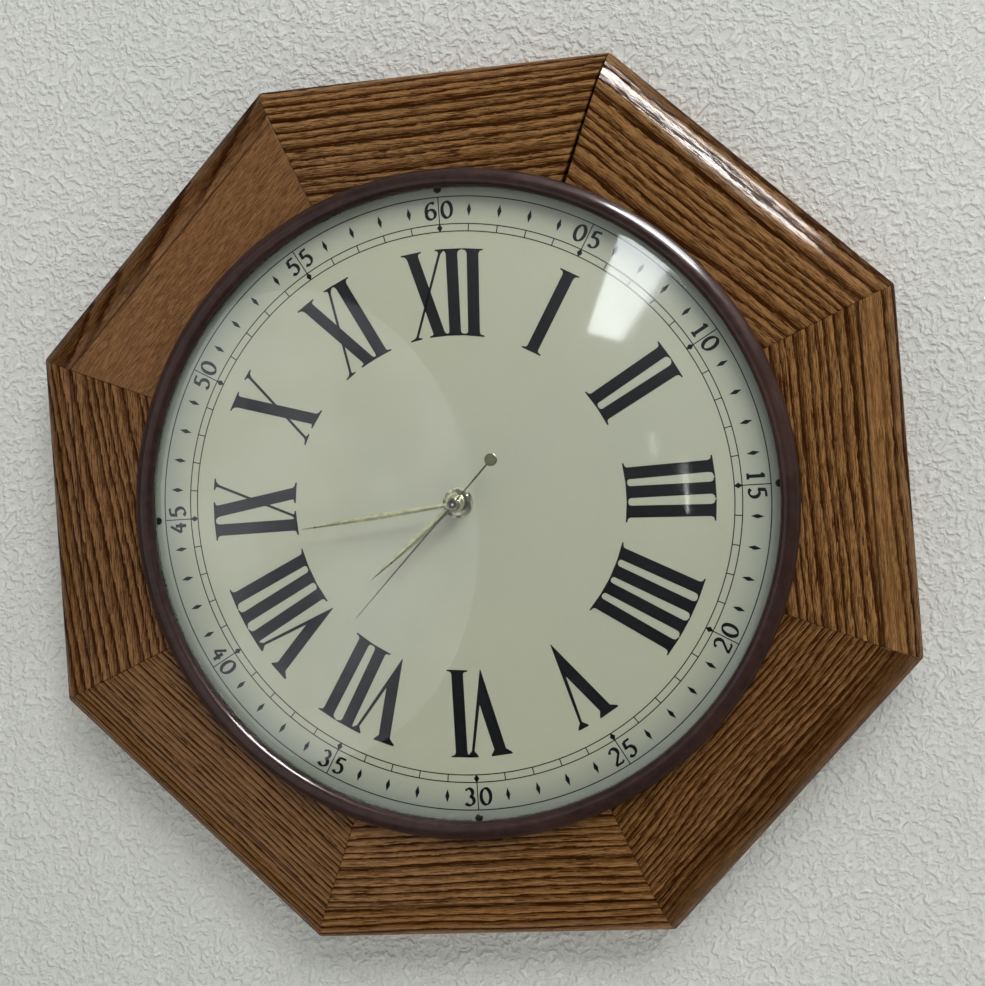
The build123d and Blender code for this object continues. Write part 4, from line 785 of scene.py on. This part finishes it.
def vee_outline(thick, apex, thin):
    """Outline of a V from its thick head, its point and its thin head, with serifs at both heads."""
    low, high = NUMERAL_INNER, NUMERAL_OUTER
    left, right = thick - BOLD / 2, thin + HAIR / 2
    rise = high - low
    # the inner edges run beside the outer ones and meet in the crotch
    share = (right - HAIR - left - BOLD) / (right - left)
    crotch = (left + BOLD + (apex - left) * share, high - rise * share)
    shelf = high - SERIF_THICKNESS
    slant = (apex - left) * (SERIF_THICKNESS + HEAD_BRACKET) / rise
    root = shelf - HEAD_BRACKET
    thin_tip = right - HAIR - SERIF_REACH * 0.8
    outline = [(apex - VEE_POINT / 2, low), (apex + VEE_POINT / 2, low), (right, root)]
    outline += [(right + SERIF_REACH, shelf), (right + SERIF_REACH, high), (thin_tip, high)]
    outline += [(thin_tip, shelf), (right - HAIR, root), crotch, (left + BOLD + slant, root)]
    outline += [(left + BOLD + SERIF_REACH, shelf), (left + BOLD + SERIF_REACH, high)]
    outline += [(left - SERIF_REACH, high), (left - SERIF_REACH, shelf), (left + slant, root)]
    return outline


# Each numeral as its strokes, in mm across from its middle: I (head, foot), X (thick head, thick foot,
# thin head, thin foot) and V (thick head, point, thin head).
NUMERALS = (
    (("X", -14.3, -3.1, -0.4, -14.2), ("I", 4.6, 3.9), ("I", 14.4, 12.5)),
    (("I", 0.0, -0.3),),
    (("I", -5.2, -4.7), ("I", 4.6, 3.8)),
    (("I", -9.6, -8.4), ("I", 0.2, 0.0), ("I", 10.2, 8.7)),
    (("I", -14.6, -12.8), ("I", -5.3, -4.4), ("I", 4.3, 3.7), ("I", 14.1, 11.9)),
    (("V", -5.0, 0.5, 8.5),),
    (("V", -12.5, -4.9, 0.7), ("I", 6.1, 5.8)),
    (("V", -17.5, -8.5, -3.5), ("I", 1.8, 2.3), ("I", 11.9, 11.0)),
    (("V", -18.4, -8.1, -4.2), ("I", 0.8, 0.7), ("I", 10.9, 9.5), ("I", 21.0, 18.0)),
    (("I", -6.1, -5.6), ("X", 2.5, 9.2, 15.6, -1.9)),
    (("X", -4.8, 5.0, 9.1, -5.5),),
    (("X", -9.0, 2.0, 4.5, -9.2), ("I", 10.2, 8.6)),
)


def add_numeral(bm, strokes, clock):
    """Prints the strokes of one Roman numeral."""
    for letter, *places in strokes:
        places = [place * MM for place in places]
        if letter == "V":
            shapes = [vee_outline(*places)]
        else:
            shapes = [stroke_outline(places[0], places[1], BOLD)]
        if letter == "X":
            shapes.append(stroke_outline(places[2], places[3], HAIR))
        for shape in shapes:
            add_ink(bm, [bent(point) for point in shape], clock)


def ribbon(path, closed):
    """Outlines of a pen stroke along a path; the pen (thin, thick, slant) is thin along its own slant."""
    thin, thick, slant = PEN
    count = len(path)
    left, right = [], []
    for k, point in enumerate(path):
        if closed:
            before, after = path[k - 1], path[(k + 1) % count]
        else:
            before, after = path[max(k - 1, 0)], path[min(k + 1, count - 1)]
        direction = atan2(after[1] - before[1], after[0] - before[0])
        half = (thin + (thick - thin) * abs(sin(direction - radians(slant)))) / 2
        across = (-sin(direction) * half, cos(direction) * half)
        left.append((point[0] + across[0], point[1] + across[1]))
        right.append((point[0] - across[0], point[1] - across[1]))
    last = count if closed else count - 1
    return [[left[k], left[(k + 1) % count], right[(k + 1) % count], right[k]] for k in range(last)]


# Digits in a box one unit tall, centred across, as pen paths; the first path of 0 and of 6 is a closed loop.
LOOPED = ("0", "6")
DIGITS = {
    "0": [oval((0, 0.5), (0.27, 0.45), 0, 345, 22)],
    "1": [[(0, 0.05), (0, 0.95)], [(-0.16, 0.76), (0, 0.93)], [(-0.17, 0.03), (0.17, 0.03)]],
    "2": [
        oval((0.0, 0.70), (0.23, 0.26), 165, -35, 14) + [(-0.24, 0.06)],
        [(-0.26, 0.05), (0.18, 0.05), (0.28, 0.14)],
    ],
    "3": [oval((-0.02, 0.73), (0.20, 0.23), 150, -80, 12), oval((-0.02, 0.28), (0.25, 0.25), 85, -150, 14)],
    "4": [[(0.08, 0.95), (-0.28, 0.34)], [(-0.28, 0.34), (0.27, 0.34)], [(0.10, 0.66), (0.10, 0.03)]],
    "5": [
        [(-0.14, 0.93), (0.22, 0.96)],
        [(-0.15, 0.94), (-0.19, 0.52)],
        oval((-0.03, 0.32), (0.25, 0.28), 125, -140, 16),
    ],
    "6": [oval((0.0, 0.30), (0.25, 0.27), 0, 345, 20), oval((0.06, 0.50), (0.32, 0.45), 200, 62, 12)],
}
PEN = (0.085, 0.20, 25.0)
DIGIT_OFFSET = 0.455


def add_label(bm, minute):
    """The two digits of a five-minute label, either side of its line; tops point inward in the lower half."""
    clock = 6.0 * minute
    inward = 20 <= minute <= 40
    for side, digit in zip((-1, 1), f"{minute or 60:02d}"):
        for order, path in enumerate(DIGITS[digit]):
            for shape in ribbon(path, order == 0 and digit in LOOPED):
                outline = []
                for across, up in shape:
                    across = (across + side * DIGIT_OFFSET) * LABEL_HEIGHT
                    up = (up - 0.5) * LABEL_HEIGHT
                    if inward:
                        across, up = -across, -up
                    outline.append((across, LABEL_RADIUS + up))
                add_ink(bm, outline, clock)


def add_circle(bm, radius):
    """A printed line round the hand axis."""
    inner, outer = radius - LINE / 2, radius + LINE / 2
    profile = [(inner, DIAL_FRONT), (outer, DIAL_FRONT), (outer, INK_FRONT), (inner, INK_FRONT)]
    add_revolved(bm, profile, 240)


def diamond(radius, reach):
    """Diamond at a radius, with reach as half its height and half its width."""
    half_height, half_width = reach
    return [(0, radius - half_height), (half_width, radius), (0, radius + half_height), (-half_width, radius)]


def bar_outline(inner, outer):
    """Thin upright bar between two radii."""
    return [(-LINE / 2, inner), (LINE / 2, inner), (LINE / 2, outer), (-LINE / 2, outer)]


def build_print():
    """Everything printed on the dial: circles, minute track, five-minute labels and numerals."""
    bm = bmesh.new()
    for radius in (OUTER_CIRCLE, TRACK_OUTER, TRACK_INNER):
        add_circle(bm, radius)
    for minute in range(60):
        if minute % 5:
            add_ink(bm, bar_outline(TRACK_INNER, TRACK_OUTER), 6 * minute)
            add_ink(bm, diamond(LABEL_RADIUS, MINUTE_DIAMOND), 6 * minute)
        else:
            add_ink(bm, bar_outline(TRACK_INNER, OUTER_CIRCLE), 6 * minute)
            add_ink(bm, diamond(FIVE_MINUTE_RADIUS, FIVE_MINUTE_DIAMOND), 6 * minute)
            add_label(bm, minute)
    for hour, strokes in enumerate(NUMERALS):
        add_numeral(bm, strokes, 30 * hour)
    piece("dial_print", bm, "dial_ink", sharp=20.0)


build_print()

# ---------------- hub and hands
REST_ANGLE = {"hour": 232.0, "minute": 264.5, "second": 224.8}
HAND_THICKNESS = 0.4 * MM
MINUTE_BORE = 1.61 * MM
MINUTE_NUT_BACK = 51.8 * MM
MINUTE_NUT_FRONT = 53.6 * MM
MINUTE_NUT_RADIUS = 2.9 * MM
SECOND_BACK = 56.4 * MM
TAIL_LENGTH = 26.4 * MM
# sections of the second hand's parts, measured from the back of its blade
WEIGHT = ((0, 0), (2.9, 0), (2.9, 0.25), (2.7, 0.4), (0, 0.4))
CUP = ((0.52, -2), (1.1, -2), (1.1, 0), (2.7, 0), (2.9, 0.2), (2.9, 0.6), (2.7, 0.9), (2.4, 1), (2, 0.9))
CUP += ((1.7, 0.5), (0.52, 0.4))
# painted shade: a dark disc set in the cup's hole stands for the shade of the hole
HOLE_SHADE_DISC = ((0.5, 0.3), (1.75, 0.3), (1.75, 0.58), (1.2, 0.5), (0.5, 0.45))
THREAD_PITCH = 0.7 * MM
THREAD_DEPTH = 0.32 * MM
BUSH_BORE = 2.6 * MM
NUT_HALF_FLAT = 5.5 * MM
NUT_STEPS = 96
KNURL_STEPS = 144
KNURLS = 18
KNURL_DEPTH = 0.16 * MM


def add_blade(bm, back, length, clock, halves, belly, tip=0.15 * MM, steps=28):
    """Slim blade with a raised middle ridge: halves are its half widths at the root and at the belly."""
    rows = []
    for step in range(steps + 1):
        outward = length * step / steps
        if outward < belly:
            t = outward / belly
            half = halves[0] + (halves[1] - halves[0]) * sin(t * pi / 2)
        else:
            t = (outward - belly) / (length - belly)
            half = halves[1] + (tip - halves[1]) * t
        edge, ridge = back + HAND_THICKNESS * 0.35, back + HAND_THICKNESS
        corners = ((-half, back), (-half, edge), (0, ridge), (half, edge), (half, back))
        rows.append([turned((across, outward), clock, forward) for across, forward in corners])
    add_skin(bm, rows)


def washer(inner, outer, back, front, ease=0.12 * MM):
    """Section of a tube with eased front corners."""
    corners = [(outer, front - ease), (outer - ease, front), (inner + ease, front), (inner, front - ease)]
    return [(inner, back), (outer, back)] + corners


def add_nut(bm, radius_at, levels, bore, steps):
    """Nut from its (shrink, forward) levels and its outer radius, a function of the angle and the shrink."""
    rings = [ring(lambda turn: radius_at(turn, shrink), forward, steps) for shrink, forward in levels]
    rings += [ring(lambda turn: bore, levels[last][1], steps) for last in (-1, 0)]
    add_skin(bm, rings, capped=False)


def hexagon(turn, shrink):
    """Radius of a hexagon whose corners are turned down by the shrink."""
    radius = NUT_HALF_FLAT / cos((turn + pi / 6) % (pi / 3) - pi / 6)
    return min(radius, NUT_HALF_FLAT / cos(pi / 6) - shrink) if shrink else radius


def knurled(turn, shrink):
    """Radius of a knurled round, less the shrink."""
    return MINUTE_NUT_RADIUS - max(0.0, cos(KNURLS * turn)) ** 3 * KNURL_DEPTH - shrink


def build_nuts():
    """The hexagonal nut on the bush and the round one that clamps the minute hand."""
    bm = bmesh.new()
    levels = section(((0.4, 0), (0, 0.3)), NUT_BACK) + section(((0, -0.5), (0.75, 0)), NUT_FRONT)
    add_nut(bm, hexagon, levels, BUSH_RADIUS, NUT_STEPS)
    piece("hex_nut_brass", bm, "turned_brass", ("hex_nut",), 25.0)
    bm = bmesh.new()
    levels = section(((0.2, 0), (0, 0.2)), MINUTE_NUT_BACK)
    levels += section(((0, -0.35), (0.45, 0)), MINUTE_NUT_FRONT)
    add_nut(bm, knurled, levels, MINUTE_BORE, KNURL_STEPS)
    nut = "minute_hand_nut"
    piece("minute_nut_brass", bm, "turned_brass", (nut,), 25.0, "minute_hand_train")


def build_bush():
    """Threaded bush: the thread shows as close ridges in front of the nut."""
    back = -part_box("threaded_bush")[1].y
    profile = [(BUSH_BORE, back), (BUSH_RADIUS, back), (BUSH_RADIUS, NUT_BACK)]
    root = BUSH_RADIUS - THREAD_DEPTH
    turns = int((BUSH_FRONT - NUT_BACK - 0.4 * MM) / THREAD_PITCH)
    for thread in range(turns):
        start = NUT_BACK + THREAD_PITCH * thread
        profile += [(root, start + THREAD_PITCH * 0.5), (BUSH_RADIUS, start + THREAD_PITCH)]
    profile += [(root, BUSH_FRONT), (BUSH_BORE, BUSH_FRONT)]
    bm = bmesh.new()
    add_revolved(bm, profile, 64)
    piece("bush_brass", bm, "turned_brass", ("threaded_bush",), 25.0)


# The leaf hands, in mm: back and length of the blade, half widths at its root and belly, place of the belly,
# bore, radius of the boss, and the collar behind it as (radius, back, front).
LEAF_HANDS = {
    "hour": (49.2, 51.7, 0.9, 1.6, 24, 2.56, 4.2, (3.25, 48.3, 50.2)),
    "minute": (51.4, 72, 0.8, 1.35, 38, MINUTE_BORE / MM, 3.6, (2.4, 50.6, 51.5)),
}


def build_leaf_hand(name, back, length, root, widest, belly, bore, boss, collar):
    """A ridged leaf on a flat boss, with the collar that grips its tube."""
    bm = bmesh.new()
    add_blade(bm, back * MM, length * MM, REST_ANGLE[name], (root * MM, widest * MM), belly * MM)
    add_revolved(bm, washer(bore * MM, boss * MM, back * MM, back * MM + HAND_THICKNESS), 64)
    add_revolved(bm, washer(bore * MM, *(value * MM for value in collar)), 64)
    piece(name + "_hand_brass", bm, "hand_brass", (name + "_hand",), 12.0, name + "_hand_train")


def build_second_hand():
    """Second hand with its counterweight, and the cup that presses it on to its pin, with a dark disc of
    painted shade in the cup's hole.
    """
    clock = REST_ANGLE["second"]
    body = "second_hand_train"
    bm = bmesh.new()
    add_blade(bm, SECOND_BACK, 67.4 * MM, clock, (0.5 * MM, 0.42 * MM), 20 * MM, tip=0.12 * MM)
    add_blade(bm, SECOND_BACK, TAIL_LENGTH, clock + 180, (0.42 * MM, 0.38 * MM), 8 * MM, tip=0.38 * MM)
    weight = turned((0, TAIL_LENGTH), clock + 180)
    add_revolved(bm, section(WEIGHT, SECOND_BACK), 40, weight.x, weight.z)
    piece("second_hand_blade", bm, "dark_brass", ("second_hand",), 18.0, body)
    for name, profile, steps, finish in (("cup", CUP, 64, "turned_brass"), ("hole_shade", HOLE_SHADE_DISC, 48, "dark_steel")):
        bm = bmesh.new()
        add_revolved(bm, section(profile, SECOND_BACK), steps)
        piece("second_hand_" + name, bm, finish, (), 18.0, body)


build_nuts()
build_bush()
for hand_name, sizes in LEAF_HANDS.items():
    build_leaf_hand(hand_name, *sizes)
build_second_hand()


# ---------------- battery
# in mm
NUB_LENGTH = 1.15
BAND_START = 35.01


def build_battery():
    """AA cell lying along X: steel ends, plain dark jacket with a copper-coloured band, no markings."""
    low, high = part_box("battery")
    y, z = (low.y + high.y) / 2, (low.z + high.z) / 2
    radius, length = (high.z - low.z) / 2 / MM, (high.x - low.x) / MM
    end = length - NUB_LENGTH
    steel = ((0, 0), (4.6, 0), (4.8, 0.25), (6.2, 0.25), (6.6, 0.7), (0, 0.7))
    jacket = ((6.2, 0.25), (radius - 0.35, 0.2), (radius, 0.6), (radius, 35), (radius, BAND_START))
    jacket += ((6, BAND_START), (6, 0.4))
    band = ((6, BAND_START), (radius, BAND_START), (radius, end - 0.8), (radius - 0.5, end - 0.1))
    band += ((5.4, end - 0.1), (5.4, end - 1.2))
    button = ((0, end - 1), (6, end - 1), (5.2, end - 0.45), (2.75, end - 0.35))
    button += ((2.75, length - 0.3), (2.45, length), (0, length))
    parts = (("steel_end", steel, "contact_steel"), ("jacket", jacket, "battery_jacket"))
    parts += (("band", band, "battery_band"), ("button", button, "contact_steel"))
    for name, profile, finish in parts:
        bm = bmesh.new()
        add_revolved(bm, section(profile), 72)
        for vert in bm.verts:
            across, along, up = vert.co
            vert.co = Vector((low.x - along, y + across, z + up))
        replaced = ("battery",) if name == "jacket" else ()
        piece("battery_" + name, bm, finish, replaced, 30.0, "battery_body")


build_battery()


# ---------------- finishes of the CAD nodes that stay
def finish_cad_nodes():
    """Gives each CAD node that is still shown the finish of its slot."""
    for part in frame["record"]["subparts"]:
        obj = frame["nodes"][part["node"]]
        finish = part["material_slot"]
        if finish == "oak" or obj.hide_render:
            continue
        for slot in obj.material_slots:
            slot.material = mats[finish]


finish_cad_nodes()

# ---------------- wall, floor, light and camera
WALL_COLOUR = rgb(229, 229, 223)
FLOOR_DROP = 0.62
STAGE_REACH = 3.0


def wall_material():
    """Pale wall with a rolled, knocked-down texture; it shows only from the room side."""
    s = Shade("pale_wall")
    warp = s.noise(s.place, 60.0, detail=1.0)
    pushed = s.scale(s.join(warp, 0.0, warp), (0.006, 0, 0.006))
    stipple = s.noise(s.add("VectorMath", {0: s.place, 1: pushed}), 270.0)
    raised = s.step(stipple, 0.40, 0.66)
    tone = s.noise(s.place, 3.0)
    colour = s.mix(s.step(tone, 0.3, 0.7), WALL_COLOUR, rgb(219, 220, 215))
    # painted shade: the hollows of the knocked-down texture are darker than its ridges
    colour = s.mix(s.times(s.minus(1.0, raised), 0.3), colour, rgb(196, 197, 192))
    relief = s.bump(s.blend(stipple, 0.5, raised), 1.2 * MM, 0.75)
    inputs = {"Base Color": colour, "Roughness": 0.55, "Specular IOR Level": 0.02, "Normal": relief}
    paint = s.add("BsdfPrincipled", inputs)
    clear = s.add("BsdfTransparent")
    behind = s.add("NewGeometry", output="Backfacing")
    return s.output(s.add("MixShader", {0: behind, 1: paint, 2: clear}))


def floor_material():
    """Pale floor that sends a little light up onto the clock."""
    s = Shade("pale_floor")
    tone = s.noise(s.place, 5.0, detail=3.0)
    return s.surface(Base_Color=s.mix(tone, rgb(218, 217, 212), rgb(208, 207, 202)), Roughness=0.7)


def stage_plane(name, corners, material):
    """Flat staging shape that isn't part of the clock."""
    mesh = bpy.data.meshes.new(name)
    mesh.from_pydata(corners, [], [tuple(range(len(corners)))])
    mesh.materials.append(material)
    obj = linked(name, mesh)
    return obj


def area_light(name, place, target, size, power, colour=(1, 1, 1)):
    """Soft lamp that no surface mirrors."""
    data = bpy.data.lights.new(name, "AREA")
    data.shape = "RECTANGLE"
    data.size, data.size_y = size
    data.energy = power
    data.color = colour
    obj = linked(name, data)
    obj.location = place
    obj.rotation_euler = (Vector(target) - Vector(place)).to_track_quat("-Z", "Y").to_euler()
    obj.visible_glossy = False


# The photograph's viewpoint; the focal length is in picture widths.
CAMERA_PLACE = Vector((89.8, -583, 23.6)) * MM
CAMERA_TARGET = Vector((17.4, -40, 30.7)) * MM
CAMERA_ROLL = radians(-4.24)
CAMERA_SHIFT = (0.0015, -0.061)
FOCAL_IN_WIDTHS = 1.21827
SENSOR = 36.0

# Bright shapes of the room: where their mirror images sit on the dome, in mm (x, z), their colour, strength
# and unevenness.
COOL = (0.95, 0.98, 1.0, 1)
TUBE = (0.95, 1.0, 0.98, 1)
LAMPS = {
    "lamp": (((83, 116), (104, 99), (80, 66), (65, 71)), (0.93, 0.98, 1.0, 1), 11.0, 0.2),
    "lamp_above": (((77, 127), (112, 184), (160, 134), (113, 95)), COOL, 110.0, 0.4),
    "lamp_high": (((134, 199), (149, 221), (198, 172), (178, 154)), COOL, 70.0, 0.5),
    "tube_0": (((89, 24.5), (90.6, 24.5), (90.9, 15), (89.4, 15)), TUBE, 6.5, 0.0),
    "tube_1": (((101.5, 12), (103.6, 12), (103.4, -10.5), (102, -10.5)), TUBE, 6.5, 0.0),
}
LAMP_DISTANCE = 2.4
KEY_PLACE = (92, 100)
KEY_DISTANCE = 2.2
PALE_CENTRE = (-75, -5)
PALE_REACH = (88, 108)
PALE_LIMIT = 141
PALE_DISTANCE = 2.6


def mirrored(place, distance):
    """Point of the room that the camera sees mirrored at a place on the dome, or on the dome carried on."""
    centre = Vector((0, -DOME_CENTRE, 0))
    x, z = place[0] * MM, place[1] * MM
    spot = Vector((x, centre.y - sqrt(DOME_RADIUS**2 - x * x - z * z), z))
    normal = (spot - centre).normalized()
    sight = (spot - CAMERA_PLACE).normalized()
    return spot + (sight - 2 * sight.dot(normal) * normal) * distance


def room_card(name, distance, places, colour, strength, softness):
    """Bright shape that is seen only as a reflection and gives its light a little unevenly."""
    s = Shade(name + "_glow")
    cloud = s.noise(s.place, 1.6, detail=3.0)
    power = s.step(cloud, 0.3, 0.7, strength * (1 - softness), strength)
    glow = s.output(s.add("Emission", {"Color": colour, "Strength": power}))
    card = stage_plane(name, [mirrored(place, distance) for place in places], glow)
    card.visible_camera = False
    card.visible_shadow = False
    card.visible_diffuse = False


def build_room():
    """Even light for matt surfaces, and a dim room with a few bright shapes for mirroring ones."""
    s = Shade("soft_room", bpy.data.worlds, "Generated")
    glossy_ray = s.add("LightPath", output="Is Glossy Ray")
    above = s.step(s.blend(s.part("X"), 0.5, s.part("Z")), -0.3, 1.2, 0.012, 0.35)
    behind = s.step(s.part("Y"), 0.0, 0.7, 0.0, 0.5)
    mirrored_room = s.plus(above, behind)
    strength = s.add("Mix", {0: glossy_ray, 2: 0.44, 3: mirrored_room}, data_type="FLOAT")
    background = s.add("Background", {"Color": (0.88, 0.91, 0.94, 1), "Strength": strength})
    bpy.context.scene.world = s.output(background, "OutputWorld")

    for name, card in LAMPS.items():
        room_card(name, LAMP_DISTANCE, *card)
    pale = []
    for x, z in oval(PALE_CENTRE, PALE_REACH, 0, 351, 39):
        inside = min(1.0, PALE_LIMIT / hypot(x, z))
        pale.append((x * inside, z * inside))
    room_card("pale_room", PALE_DISTANCE, pale, (0.90, 0.93, 1.0, 1), 1.2, 0.6)


def rectangle(low):
    """Corners as wide as the stage, from a low edge to its full reach."""
    return [(-STAGE_REACH, low), (STAGE_REACH, low), (STAGE_REACH, STAGE_REACH), (-STAGE_REACH, STAGE_REACH)]


def build_stage():
    """Wall behind the clock, floor below it and three soft lamps."""
    wall = stage_plane("wall", [(x, 0, z) for x, z in rectangle(-FLOOR_DROP)], wall_material())
    wall.visible_shadow = False
    floor = stage_plane("floor", [(x, y, -FLOOR_DROP) for x, y in rectangle(-STAGE_REACH)], floor_material())
    floor.visible_glossy = False
    area_light("ceiling_light", (0.5, -1.7, 1.7), (0, 0, 0.05), (1.6, 1.0), 22, (1.0, 0.99, 0.97))
    area_light("key_light", mirrored(KEY_PLACE, KEY_DISTANCE), (0, 0, 0.02), (0.6, 0.4), 9, (0.98, 0.99, 1.0))
    area_light("back_fill", (0.15, 1.9, 0.35), (0, 0, 0), (1.6, 1.6), 48)


def build_camera():
    """Camera fitted to the photo, with its shift and its small roll."""
    data = bpy.data.cameras.new("camera")
    data.sensor_width = SENSOR
    data.lens = FOCAL_IN_WIDTHS * SENSOR
    data.shift_x, data.shift_y = CAMERA_SHIFT
    data.clip_start = 0.01
    camera = linked("camera", data)
    camera.location = CAMERA_PLACE
    look = (CAMERA_TARGET - CAMERA_PLACE).to_track_quat("-Z", "Y").to_matrix().to_4x4()
    camera.rotation_euler = (look @ Matrix.Rotation(CAMERA_ROLL, 4, "Z")).to_euler()
    bpy.context.scene.camera = camera


build_stage()
build_room()
build_camera()
bpy.context.scene.view_settings.view_transform = "Standard"

bpy.context.view_layer.update()
